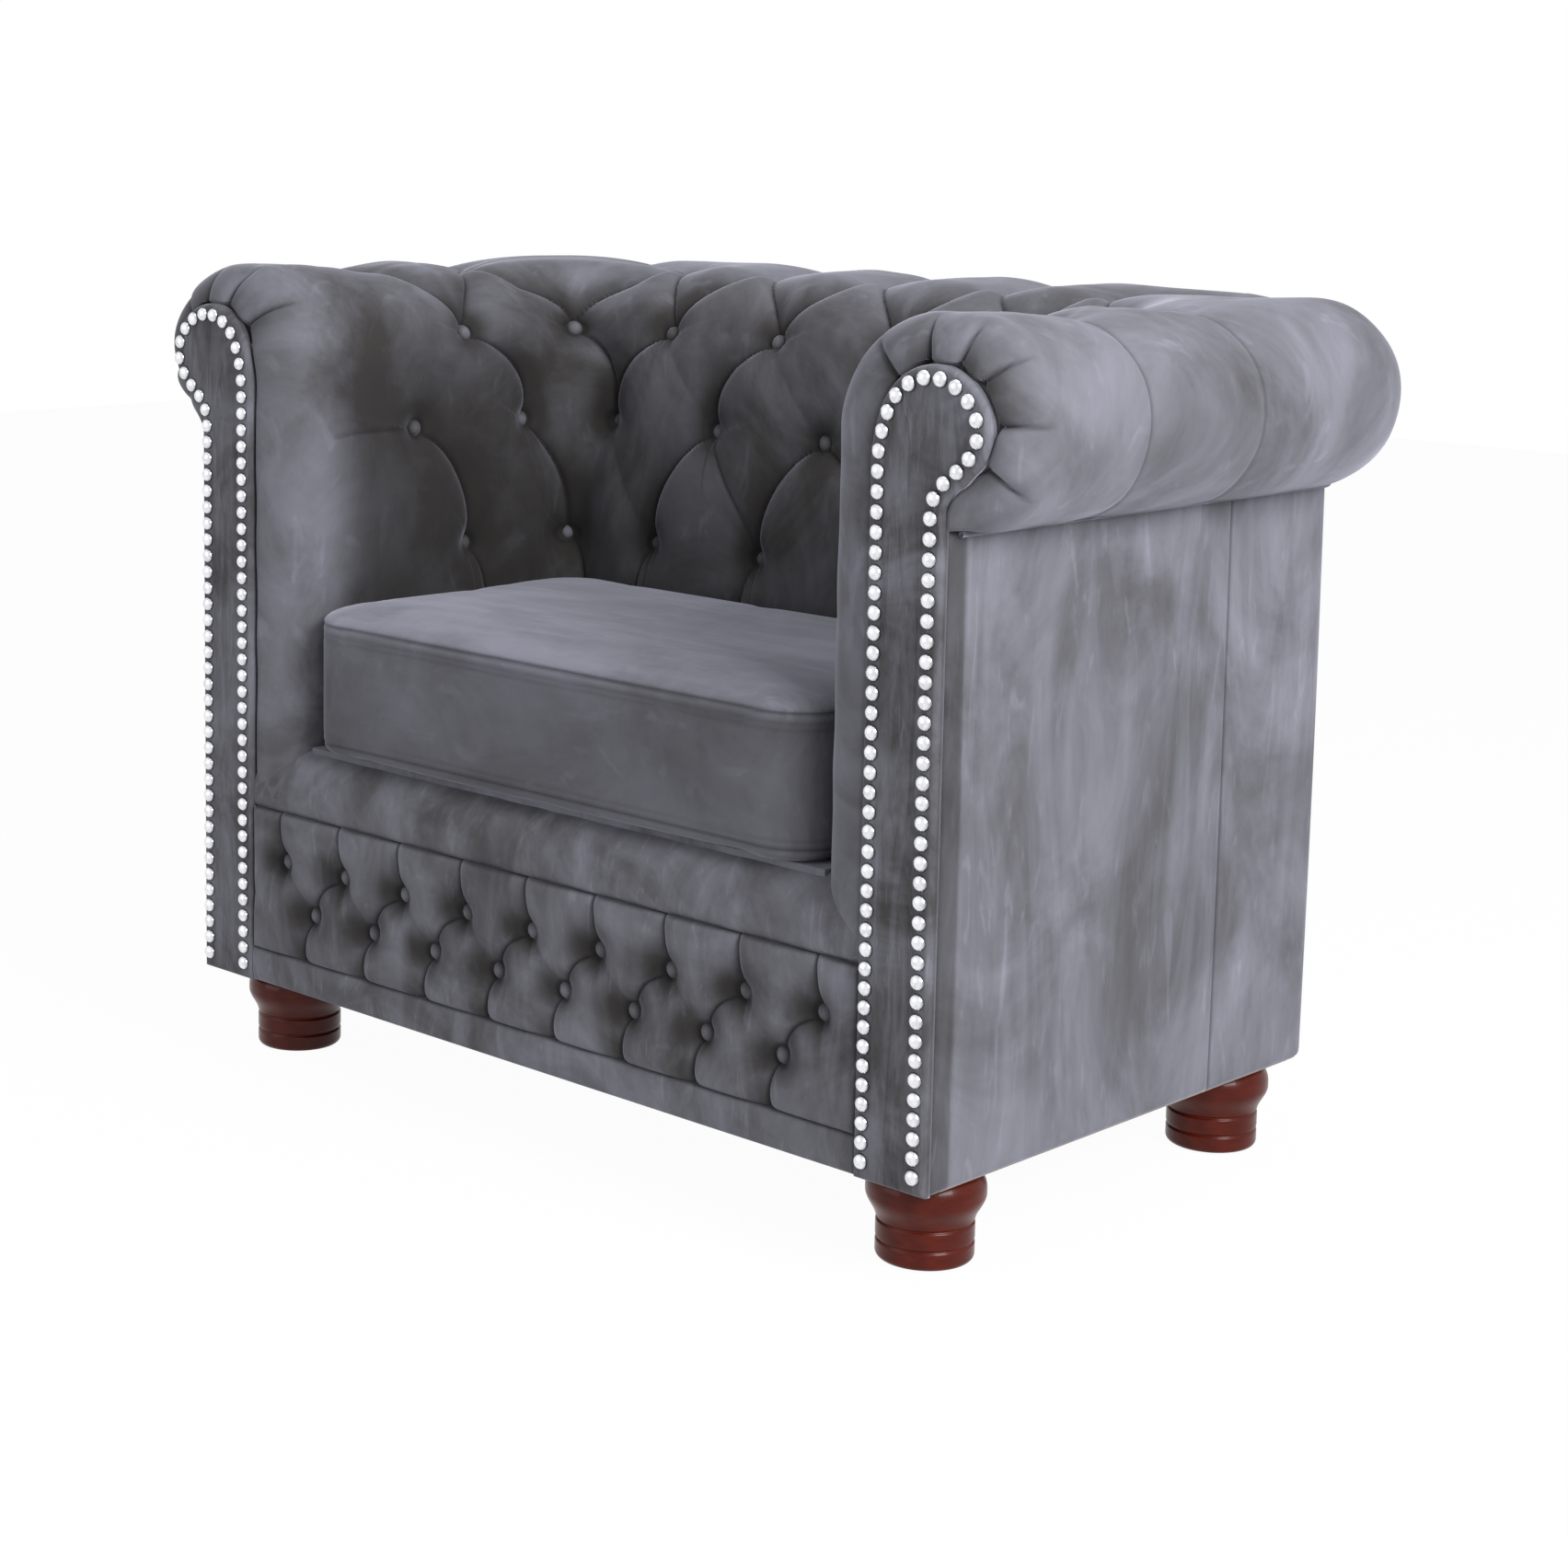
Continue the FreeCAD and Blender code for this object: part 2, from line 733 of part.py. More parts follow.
def board_screw(place, clearance):
    """Make one countersunk wood screw, or with a clearance the hole that it needs."""
    head = board_screw_head_diameter / 2 + clearance
    shank = board_screw_diameter / 2 + clearance
    sink = head - shank
    return turned(((0, 0), (head, 0), (shank, -sink), (shank, -board_screw_length - clearance),
                   (0, -board_screw_length - clearance)), place)


def screw_holes():
    """Make the holes for every screw on both sides of the chair."""
    holes = [board_screw(place, screw_clearance) for place in screw_places()]
    return group(holes + [mirrored(hole) for hole in holes])


def side_rail():
    """Make the right seat rail."""
    return block((side_rail_x, panel_inner_x), (stump_back_y + seat_gap, rear_rail_y),
                 (frame_bottom_z, rail_top_z))


def front_rail():
    """Make the front seat rail between the two arm stumps."""
    reach = nail_inner_column_x - stump_grow - seat_gap
    return block((-reach, reach), (front_rail_y, front_rail_back_y), (frame_bottom_z, rail_top_z))


def rear_rail():
    """Make the rear seat rail behind the ends of the side rails."""
    return block((-side_rail_x, side_rail_x), (rear_rail_y, panel_inner_y), (frame_bottom_z, rail_top_z))


def centre_brace():
    """Make the brace from the front rail to the rear rail."""
    z = frame_bottom_z + brace_lift
    return block((-brace_width / 2, brace_width / 2), (front_rail_back_y, rear_rail_y), (z, z + brace_height))


def corner_block(y_start, foot_y):
    """Make one right-hand corner block, bored for its foot's tee nut and bolt."""
    body = block((side_rail_x - corner_block_size, side_rail_x), (y_start, y_start + corner_block_size),
                 (frame_bottom_z, block_top_z))
    bolt_hole = Part.makeCylinder(bolt_diameter / 2 + bolt_clearance / 2, corner_block_height,
                                  Vector(foot_x, foot_y, frame_bottom_z))
    nut_hole = Part.makeCylinder(tee_nut_barrel_radius + bolt_clearance / 2, tee_nut_barrel_length,
                                 Vector(foot_x, foot_y, block_top_z - tee_nut_barrel_length))
    return body.cut([bolt_hole, nut_hole])


def rear_post():
    """Make the right rear post, standing on its corner block under the top board."""
    post = block((arm_frame_x, side_rail_x), (rear_rail_y - rear_post_depth, rear_rail_y),
                 (block_top_z, board_bottom_z))
    return post.cut(screw_holes())


def back_upright():
    """Make the right upright of the back, standing on the rear rail."""
    post = block((upright_offset - upright_width / 2, upright_offset + upright_width / 2),
                 (rear_rail_y, panel_inner_y), (rail_top_z, board_bottom_z))
    return post.cut(screw_holes())


def arm_top_board():
    """Make the board that carries the right arm's roll, with its rear corner cut off inside the bend."""
    start_y = facing_back_y
    end_x = half_width - board_inset
    end_y = half_depth - board_inset
    cut = corner_bend_radius
    face = outline(on_xy, (arm_frame_x, start_y), (end_x, start_y), (end_x, end_y - cut),
                   (end_x - cut, end_y), (arm_frame_x, end_y))
    board = extrude(face, Vector(0, 0, 1), board_bottom_z, board_top_z)
    board = board.cut(extrude(keyhole(stump_grow), Vector(0, 1, 0), facing_back_y - overrun, stump_back_y))
    return board.cut(screw_holes())


def back_top_board():
    """Make the board that carries the back's roll, between the arm boards."""
    board = block((-arm_frame_x, arm_frame_x), (back_frame_y, half_depth - board_inset),
                  (board_bottom_z, board_top_z))
    return board.cut(screw_holes())


def arm_tack_rail():
    """Make the low inner rail of the right arm, from the stump to the rear post."""
    return block((arm_frame_x, arm_frame_x + tack_rail_thickness),
                 (stump_back_y, rear_rail_y - rear_post_depth),
                 (tack_rail_z, tack_rail_z + tack_rail_height))


def back_tack_rail():
    """Make the low inner rail of the back, between the two arm tack rails."""
    return block((-arm_frame_x, arm_frame_x), (back_frame_y, back_frame_y + tack_rail_thickness),
                 (tack_rail_z, tack_rail_z + tack_rail_height))


# Suspension


def arm_webbing():
    """Make the upright webs behind the right arm's padding."""
    start = stump_back_y
    pitch = (seat_back_y - start) / arm_web_count
    webs = []
    for number in range(arm_web_count):
        middle = start + (number + 0.5) * pitch
        webs.append(block((arm_pad_back_x, arm_frame_x),
                          (middle - webbing_width / 2, middle + webbing_width / 2),
                          (tack_rail_z, board_top_z)))
    return group(webs)


def back_webbing():
    """Make the upright webs behind the back's padding."""
    pitch = 2 * arm_inner_x / back_web_count
    webs = []
    for number in range(back_web_count):
        middle = -arm_inner_x + (number + 0.5) * pitch
        webs.append(block((middle - webbing_width / 2, middle + webbing_width / 2),
                          (back_pad_back_y, back_frame_y), (tack_rail_z, board_top_z)))
    return group(webs)


def spring_ends():
    """Give where the springs start on the front rail and stop on the rear rail."""
    return front_rail_back_y - clip_length / 2, rear_rail_y + clip_length / 2


def seat_spring(x):
    """Make one zigzag spring, a round wire with a half turn at each bend."""
    start_y, end_y = spring_ends()
    pitch = (end_y - start_y) / (spring_bends + 1)
    bend = pitch / 2
    reach = spring_loop_width / 2 - bend
    edges = [Part.LineSegment(Vector(x, start_y, spring_z),
                              Vector(x + reach, start_y, spring_z)).toShape()]
    for number in range(spring_bends + 1):
        side = 1 if number % 2 == 0 else -1
        near = start_y + number * pitch
        far = near + pitch
        turn_x = x + side * reach
        arc = Part.Arc(Vector(turn_x, near, spring_z), Vector(turn_x + side * bend, near + bend, spring_z),
                       Vector(turn_x, far, spring_z))
        edges.append(arc.toShape())
        last = number == spring_bends
        end_x = x if last else x - side * reach
        edges.append(Part.LineSegment(Vector(turn_x, far, spring_z), Vector(end_x, far, spring_z)).toShape())
    start = Vector(x, start_y, spring_z)
    section = Part.Wire(Part.makeCircle(spring_wire_diameter / 2, start, Vector(1, 0, 0)))
    return Part.Wire(edges).makePipeShell([section], True, False)


def spring_clip(x, y):
    """Make one clip on top of a rail, a small block with a slot for the wire."""
    radius = spring_wire_diameter / 2 + spring_clearance
    start_x = x - clip_width / 2
    body = block((start_x, start_x + clip_width), (y - clip_length / 2, y + clip_length / 2),
                 (rail_top_z, clip_top_z))
    return body.cut(Part.makeCylinder(radius, clip_width, Vector(start_x, y, spring_z), Vector(1, 0, 0)))


def spring_rows():
    """List where the springs run, across the seat."""
    return [(number - (spring_count - 1) / 2) * spring_spacing for number in range(spring_count)]


def seat_springs():
    """Make all the zigzag springs."""
    return group([seat_spring(x) for x in spring_rows()])


def spring_clips():
    """Make the clips at both ends of every spring."""
    start_y, end_y = spring_ends()
    clips = []
    for x in spring_rows():
        clips.append(spring_clip(x, start_y))
        clips.append(spring_clip(x, end_y))
    return group(clips)


def deck_layer(z, thickness):
    """Make one flat layer of the seat deck, between the arm pads and the back pad."""
    reach = arm_inner_x - seat_gap
    return block((-reach, reach), (border_back_y + seat_gap, seat_back_y - seat_gap), (z, z + thickness))


# Loose seat cushion


def cushion_section(z, inset, draw_in):
    """Make one flat outline of the cushion, its sides drawn in between round corners."""
    right = arm_inner_x - cushion_side_clearance - inset
    front = facing_front_y + cushion_front_setback + inset
    rear = seat_back_y - cushion_side_clearance - inset
    radius = max(cushion_corner_radius - inset / 2, 10.0)
    centres = ((right - radius, rear - radius), (-right + radius, rear - radius),
               (-right + radius, front + radius), (right - radius, front + radius))
    middle_y = (front + rear) / 2
    side_middles = ((0, rear - draw_in), (-right + draw_in, middle_y), (0, front + draw_in),
                    (right - draw_in, middle_y))
    edges = []
    for number, centre in enumerate(centres):
        begin = on_circle(centre, radius, 90 * number)
        middle = on_circle(centre, radius, 90 * number + 45)
        end = on_circle(centre, radius, 90 * number + 90)
        follow = on_circle(centres[(number + 1) % 4], radius, 90 * number + 90)
        edges.append(Part.Arc(Vector(*begin, z), Vector(*middle, z), Vector(*end, z)).toShape())
        side_middle = Vector(*side_middles[number], z)
        edges.append(Part.Arc(Vector(*end, z), side_middle, Vector(*follow, z)).toShape())
    return Part.Wire(edges)


def cushion_body(wall):
    """Make the cushion's outer form, or with a wall the form inside its cover."""
    seam = cushion_bottom_z + cushion_edge_height
    top_seam = seam + cushion_boxing_height
    slight = cushion_draw_in / 3
    sections = [
        cushion_section(cushion_bottom_z + wall, cushion_edge_roll + wall, slight),
        cushion_section(seam, wall, cushion_draw_in),
        cushion_section(top_seam, wall, cushion_draw_in),
    ]
    for step in range(1, cushion_crown_steps + 1):
        angle = math.pi / 2 * step / cushion_crown_steps
        z = top_seam + (cushion_crown - wall) * math.sin(angle)
        inset = wall + cushion_crown_inset * (1 - math.cos(angle))
        sections.append(cushion_section(z, inset, slight))
    return Part.makeLoft(sections, True, True)


def cushion_cover():
    """Make the cushion's cover, a closed skin round its filling."""
    return cushion_body(0.0).cut(cushion_body(cushion_cover_thickness))


def cushion_core():
    """Make the cushion's foam filling."""
    return cushion_body(cushion_cover_thickness)


# Feet


def foot(y):
    """Make one turned foot with its bolt bore and the recess for its glide."""
    base = foot_ground_gap
    first = base + foot_ring_height
    second = first + foot_ring_height
    neck = second + foot_neck_height
    middle = (neck + foot_height) / 2
    bore = bolt_diameter / 2 + bolt_clearance / 2
    recess = glide_radius + glide_clearance
    section = (
        (0, glide_thickness), (recess, glide_thickness), (recess, base), (foot_base_radius, base),
        ((foot_ring_radius, (base + first) / 2), (foot_base_radius, first)),
        ((foot_ring_radius, (first + second) / 2), (foot_base_radius, second)),
        (foot_neck_radius, neck),
        ((foot_bulge_radius, middle), (foot_collar_radius, foot_height)),
        (bore, foot_height), (bore, foot_height - bolt_depth_in_foot), (0, foot_height - bolt_depth_in_foot),
    )
    return turned(section, Vector(foot_x, y, 0))


def hanger_bolt(y):
    """Make the bolt that joins one foot to its corner block."""
    bottom = foot_height - bolt_depth_in_foot
    return Part.makeCylinder(bolt_diameter / 2, block_top_z - bottom, Vector(foot_x, y, bottom))


def tee_nut(y):
    """Make the nut in one corner block, a barrel under a round flange."""
    bore = bolt_diameter / 2 + bolt_clearance / 2
    section = ((bore, -tee_nut_barrel_length), (tee_nut_barrel_radius, -tee_nut_barrel_length),
               (tee_nut_barrel_radius, 0), (tee_nut_flange_radius, 0),
               (tee_nut_flange_radius, tee_nut_flange_thickness), (bore, tee_nut_flange_thickness))
    return turned(section, Vector(foot_x, y, block_top_z))


def glide(y):
    """Make the felt glide under one foot."""
    return Part.makeCylinder(glide_radius, glide_thickness, Vector(foot_x, y, 0))


def dust_cover():
    """Make the thin cloth under the frame, cut for the foot bolts."""
    x = panel_inner_x - dust_cover_inset
    sheet = block((-x, x), (stump_back_y, panel_inner_y - dust_cover_inset), (foot_height, frame_bottom_z))
    holes = [Part.makeCylinder(bolt_diameter / 2 + bolt_clearance, dust_cover_thickness,
                               Vector(side * foot_x, y, foot_height))
             for side in (-1, 1) for y in (foot_front_y, foot_rear_y)]
    return sheet.cut(holes)


def save_pair(name, shape):
    """Write a right-hand piece and its mirror image."""
    save(name + "_right", shape)
    save(name + "_left", mirrored(shape))


def both_sides(shapes):
    """Put right-hand solids and their mirror images in one group."""
    return group(shapes + [mirrored(shape) for shape in shapes])


def build_frame():
    """Write the hardwood frame and its screws."""
    save("front_rail", front_rail())
    save("rear_rail", rear_rail())
    save_pair("side_rail", side_rail())
    save("centre_brace", centre_brace())
    blocks = [corner_block(front_rail_back_y, foot_front_y),
              corner_block(rear_rail_y - corner_block_size, foot_rear_y)]
    save("corner_blocks", both_sides(blocks))
    save_pair("arm_stump", stump())
    save_pair("rear_post", rear_post())
    save("back_uprights", both_sides([back_upright()]))
    save_pair("arm_top_board", arm_top_board())
    save("back_top_board", back_top_board())
    save_pair("arm_tack_rail", arm_tack_rail())
    save("back_tack_rail", back_tack_rail())
    save("top_board_screws", both_sides([board_screw(place, 0.0) for place in screw_places()]))


def build_suspension():
    """Write the webs, springs and seat deck."""
    save_pair("arm_webbing", arm_webbing())
    save("back_webbing", back_webbing())
    save("seat_springs", seat_springs())
    save("spring_clips", spring_clips())
    save("deck_hessian", deck_layer(hessian_z, hessian_thickness))
    save("seat_deck_pad", deck_layer(deck_pad_z, deck_pad_thickness))


def build_upholstery():
    """Write the padding, panels, facings, buttons and nails."""
    save_pair("arm_pad", arm_pad())
    save_pair("corner_pad", corner_pad())
    save("back_pad", back_pad())
    save_pair("arm_buttons", group([inner_button(tuft) for tuft in arm_tufts() + corner_tufts()]))
    save("back_buttons", group([inner_button(tuft) for tuft in back_tufts()]))
    places = nail_places()
    save_pair("arm_facing", facing(places))
    save_pair("facing_nails", group([nail(place) for place in places]))
    save_pair("outer_arm_panel", outer_arm_panel())
    save("outer_back_panel", outer_back_panel())
    save("under_roll_piping", under_roll_piping())
    save("front_border", front_border())
    save("base_panel", base_panel())
    save("base_strip", base_strip())
    save("base_buttons", group([base_button(tuft) for tuft in base_tufts()]))
    save("dust_cover", dust_cover())


def build_cushion():
    """Write the loose seat cushion."""
    save("seat_cushion_cover", cushion_cover())
    save("seat_cushion_core", cushion_core())


def build_feet():
    """Write the feet with their bolts, nuts and glides."""
    save_pair("foot_front", foot(foot_front_y))
    save_pair("foot_rear", foot(foot_rear_y))
    depths = (foot_front_y, foot_rear_y)
    save("foot_hanger_bolts", both_sides([hanger_bolt(y) for y in depths]))
    save("foot_tee_nuts", both_sides([tee_nut(y) for y in depths]))
    save("foot_glides", both_sides([glide(y) for y in depths]))


build_frame()
build_suspension()
build_upholstery()
build_cushion()
build_feet()
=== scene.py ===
"""Looks of the chesterfield armchair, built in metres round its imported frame."""

import sys
import json
import logging
import math
from dataclasses import dataclass, field
from enum import Enum
from typing import Callable, Sequence

import bpy
import numpy as np
from mathutils import Matrix, Vector


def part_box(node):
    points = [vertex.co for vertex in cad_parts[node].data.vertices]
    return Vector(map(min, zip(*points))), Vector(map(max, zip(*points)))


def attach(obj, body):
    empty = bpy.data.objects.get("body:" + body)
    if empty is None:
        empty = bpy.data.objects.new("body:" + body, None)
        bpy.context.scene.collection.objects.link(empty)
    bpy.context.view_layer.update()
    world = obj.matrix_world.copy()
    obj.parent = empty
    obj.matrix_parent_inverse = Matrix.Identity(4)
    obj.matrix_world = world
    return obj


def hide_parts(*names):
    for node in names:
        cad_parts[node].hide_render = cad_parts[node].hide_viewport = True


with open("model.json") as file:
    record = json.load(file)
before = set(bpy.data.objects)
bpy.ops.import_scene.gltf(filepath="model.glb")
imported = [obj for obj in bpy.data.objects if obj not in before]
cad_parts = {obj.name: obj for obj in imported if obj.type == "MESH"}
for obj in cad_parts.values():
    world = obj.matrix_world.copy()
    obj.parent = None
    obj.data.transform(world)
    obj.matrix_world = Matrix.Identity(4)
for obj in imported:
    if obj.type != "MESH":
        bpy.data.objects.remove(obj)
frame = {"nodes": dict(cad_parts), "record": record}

log = logging.getLogger("armchair")
Array = np.ndarray
Colour = tuple[float, float, float]
# Colour of painted shade in pleat creases, button rims and hollow edges, and of the dark seam lines.
CREASE_SHADE_AND_SEAM: Colour = (0.012, 0.011, 0.012)
# Colour of painted shade in button hollows, low inside the chair, on the cushion's sides and on dome rims.
PAINTED_SHADE: Colour = (0.022, 0.020, 0.019)
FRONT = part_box("arm_facing_right")[0].y
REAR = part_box("outer_back_panel")[1].y
SEAT_BACK = round(FRONT + 0.360, 4)


class Body(Enum):
    """The bodies of the frame that a piece can ride on."""

    CHAIR = "chair"
    CUSHION = "seat_cushion"


class Side(Enum):
    """The two sides of the chair, by the sign of their x."""

    RIGHT = 1
    LEFT = -1

    @property
    def word(self) -> str:
        """The side's name as the nodes write it."""
        return self.name.lower()


# ---------------------------------------------------------------- curves and grids


def smooth(x: Array) -> Array:
    """Ease x from 0 to 1: three x squared less two x cubed, held outside 0 to 1."""
    x = np.clip(x, 0.0, 1.0)
    return x * x * (3.0 - 2.0 * x)


def bezier(controls: Sequence[Sequence[float]], count: int = 36) -> Array:
    """Sample a curve as the sum of its control points, each weighted by its Bernstein polynomial.

    Args:
        controls: the control points, in any number of dimensions.
        count: how many points to sample.

    Returns:
        The points, one per row.
    """
    points = np.asarray(controls, float)
    degree = len(points) - 1
    t = np.linspace(0.0, 1.0, count)[:, None]
    k = np.arange(degree + 1)[None, :]
    choose = np.array([math.comb(degree, i) for i in range(degree + 1)])[None, :]
    return (choose * t**k * (1.0 - t) ** (degree - k)) @ points


def arc_through(start: Sequence[float], middle: Sequence[float], end: Sequence[float], count: int = 24) -> Array:
    """Sample the circle's arc through three points, from the first to the last.

    The centre is where the two chords' bisectors meet, and the angle runs evenly from start to end.

    Args:
        start: the first point.
        middle: a point between the two ends.
        end: the last point.
        count: how many points to sample.

    Returns:
        The points, one per row.
    """
    a, b, c = (np.asarray(p, float) for p in (start, middle, end))
    lhs = 2.0 * np.array([b - a, c - a])
    rhs = np.array([b @ b - a @ a, c @ c - a @ a])
    centre = np.linalg.solve(lhs, rhs)
    angles = [math.atan2(*(p - centre)[::-1]) for p in (a, b, c)]
    sweep = (angles[2] - angles[0]) % (2 * math.pi)
    if (angles[1] - angles[0]) % (2 * math.pi) > sweep:
        sweep -= 2 * math.pi
    turn = angles[0] + np.linspace(0.0, sweep, count)
    return centre + np.linalg.norm(a - centre) * np.stack([np.cos(turn), np.sin(turn)], 1)


def lengths(points: Array) -> Array:
    """Give the running length along a line of points, starting at 0."""
    return np.concatenate([[0.0], np.cumsum(np.linalg.norm(np.diff(points, axis=0), axis=1))])


def resample(points: Array, count: int) -> Array:
    """Spread points evenly along a line.

    Args:
        points: the line's points, one per row.
        count: how many points to give back.

    Returns:
        The evenly spaced points.
    """
    run = lengths(points)
    at = np.linspace(0.0, run[-1], count)
    return np.stack([np.interp(at, run, points[:, i]) for i in range(points.shape[1])], 1)


def offset_line(points: Array, distance: float) -> Array:
    """Move a flat line sideways, to its left, by a distance.

    Args:
        points: the line's points in a plane, one per row.
        distance: how far to move, to the left of its direction.

    Returns:
        The moved points.
    """
    along = np.gradient(points, axis=0)
    along /= np.linalg.norm(along, axis=1, keepdims=True)
    return points + distance * np.stack([-along[:, 1], along[:, 0]], 1)


def grid_faces(rows: int, columns: int, wrap_columns: bool = False, start: int = 0) -> Array:
    """List the quads of a grid whose vertices are numbered row by row.

    Args:
        rows: how many rows of vertices.
        columns: how many vertices in a row.
        wrap_columns: whether the last column joins the first.
        start: the number of the first vertex.

    Returns:
        Four vertex numbers per quad.
    """
    i = np.arange(rows - 1)[:, None]
    j = np.arange(columns if wrap_columns else columns - 1)[None, :]
    up, along = i + 1, (j + 1) % columns
    corners = (i * columns + j, i * columns + along, up * columns + along, up * columns + j)
    return np.stack([np.broadcast_to(c, (i.size, j.size)) for c in corners], -1).reshape(-1, 4) + start


def grid_normals(points: Array, wrap_columns: bool = False) -> Array:
    """Give a grid's unit normals, the cross product of its two central differences.

    Args:
        points: the grid, as rows by columns by 3.
        wrap_columns: whether the last column joins the first.

    Returns:
        The normals, in the shape of the grid.
    """
    if wrap_columns:
        along = np.roll(points, -1, 1) - np.roll(points, 1, 1)
    else:
        along = np.gradient(points, axis=1)
    normal = np.cross(np.gradient(points, axis=0), along)
    return normal / np.maximum(np.linalg.norm(normal, axis=-1, keepdims=True), 1e-12)


def signed_volume(points: Array, faces: Sequence[Array]) -> float:
    """Give six times the volume inside closed faces, negative where they point inwards.

    It adds up the triple products of each face's fan of triangles.

    Args:
        points: the vertices.
        faces: arrays of faces, each array with its own number of corners.

    Returns:
        The signed sum.
    """
    total = 0.0
    for block in faces:
        for k in range(1, block.shape[1] - 1):
            a, b, c = points[block[:, 0]], points[block[:, k]], points[block[:, k + 1]]
            total += float(np.einsum("ij,ij->", a, np.cross(b, c)))
    return total


@dataclass
class Shape:
    """Vertices and faces of one closed piece, with values that its finish reads."""

    points: Array
    faces: list[Array]
    normals: Array | None = None
    values: dict[str, Array] = field(default_factory=dict)

    def outward(self) -> "Shape":
        """Turn the faces round if they point inwards, and give the shape back."""
        if signed_volume(self.points, self.faces) < 0.0:
            self.faces = [block[:, ::-1] for block in self.faces]
        return self

    def build(self, name: str, finish: bpy.types.Material) -> bpy.types.Object:
        """Make the mesh object at the origin, smooth shaded.

        Args:
            name: the object's name.
            finish: its material.

        Returns:
            The linked object.
        """
        mesh = bpy.data.meshes.new(name)
        corners = np.concatenate([block.reshape(-1) for block in self.faces]).astype(np.int32)
        sizes = np.concatenate([np.full(len(block), block.shape[1], np.int32) for block in self.faces])
        mesh.vertices.add(len(self.points))
        mesh.vertices.foreach_set("co", self.points.astype(np.float32).reshape(-1))
        mesh.loops.add(len(corners))
        mesh.loops.foreach_set("vertex_index", corners)
        mesh.polygons.add(len(sizes))
        mesh.polygons.foreach_set("loop_start", np.concatenate([[0], np.cumsum(sizes)[:-1]]).astype(np.int32))
        mesh.update(calc_edges=True)
        mesh.validate()
        mesh.polygons.foreach_set("use_smooth", np.ones(len(mesh.polygons), bool))
        for key, value in self.values.items():
            mesh.attributes.new(key, "FLOAT", "POINT").data.foreach_set("value", value.astype(np.float32))
        if self.normals is not None:
            mesh.normals_split_custom_set_from_vertices(self.normals.astype(np.float32).tolist())
        mesh.materials.append(finish)
        piece = bpy.data.objects.new(name, mesh)
        bpy.context.scene.collection.objects.link(piece)
        return piece


def slab(front: Array, back: Array, values: dict[str, Array] | None = None) -> Shape:
    """Close the space between two grids of the same size with a rim of quads.

    Args:
        front: the grid that shows, as rows by columns by 3.
        back: the grid behind it.
        values: what the finish reads at each front vertex, 0 on the back.

    Returns:
        The closed shape.
    """
    rows, columns = front.shape[:2]
    count = rows * columns
    ring = np.concatenate([
        np.arange(columns - 1), np.arange(rows - 1) * columns + columns - 1,
        (rows - 1) * columns + np.arange(columns - 1, 0, -1), np.arange(rows - 1, 0, -1) * columns])
    after = np.roll(ring, -1)
    rim = np.stack([ring, ring + count, after + count, after], 1)
    faces = [grid_faces(rows, columns), grid_faces(rows, columns, start=count)[:, ::-1], rim]
    points = np.concatenate([front.reshape(-1, 3), back.reshape(-1, 3)])
    filled = {k: np.concatenate([v.reshape(-1), np.zeros(count)]) for k, v in (values or {}).items()}
    return Shape(points, faces, None, filled).outward()


def lathe(section: Array, centre: Sequence[float], segments: int = 64) -> Shape:
    """Turn a section round an upright axis: x is the radius times the cosine, y the radius times the sine.

    Args:
        section: radius and height, from the foot of the axis to its top.
        centre: where the axis stands, in x and y.
        segments: how many steps round.

    Returns:
        The closed shape.
    """
    turn = np.linspace(0.0, 2 * np.pi, segments, endpoint=False)[None, :]
    radius, height = section[:, :1], section[:, 1:]
    rings = np.stack([centre[0] + radius * np.cos(turn), centre[1] + radius * np.sin(turn),
                      np.broadcast_to(height, (len(section), segments))], -1)
    ends = [np.arange(segments)[None, :], (np.arange(segments) + (len(section) - 1) * segments)[None, ::-1]]
    faces = [grid_faces(len(section), segments, wrap_columns=True)[:, ::-1], *ends]
    return Shape(rings.reshape(-1, 3), faces).outward()


def tube(path: Array, radius: float, segments: int = 10) -> Shape:
    """Carry a circle along a path: each ring is the path's point plus the radius along its side and upright.

    Args:
        path: the points that the middle follows.
        radius: the circle's radius.
        segments: how many steps round.

    Returns:
        The closed shape.
    """
    along = np.gradient(path, axis=0)
    along /= np.linalg.norm(along, axis=1, keepdims=True)
    side = np.cross(along, np.array([0.0, 0.0, 1.0]))
    side /= np.linalg.norm(side, axis=1, keepdims=True)
    up = np.cross(side, along)
    turn = np.linspace(0.0, 2 * np.pi, segments, endpoint=False)[None, :, None]
    rings = path[:, None] + radius * (np.cos(turn) * side[:, None] + np.sin(turn) * up[:, None])
    ends = [np.arange(segments)[None, :], (np.arange(segments) + (len(path) - 1) * segments)[None, ::-1]]
    return Shape(rings.reshape(-1, 3), [grid_faces(len(path), segments, wrap_columns=True), *ends]).outward()


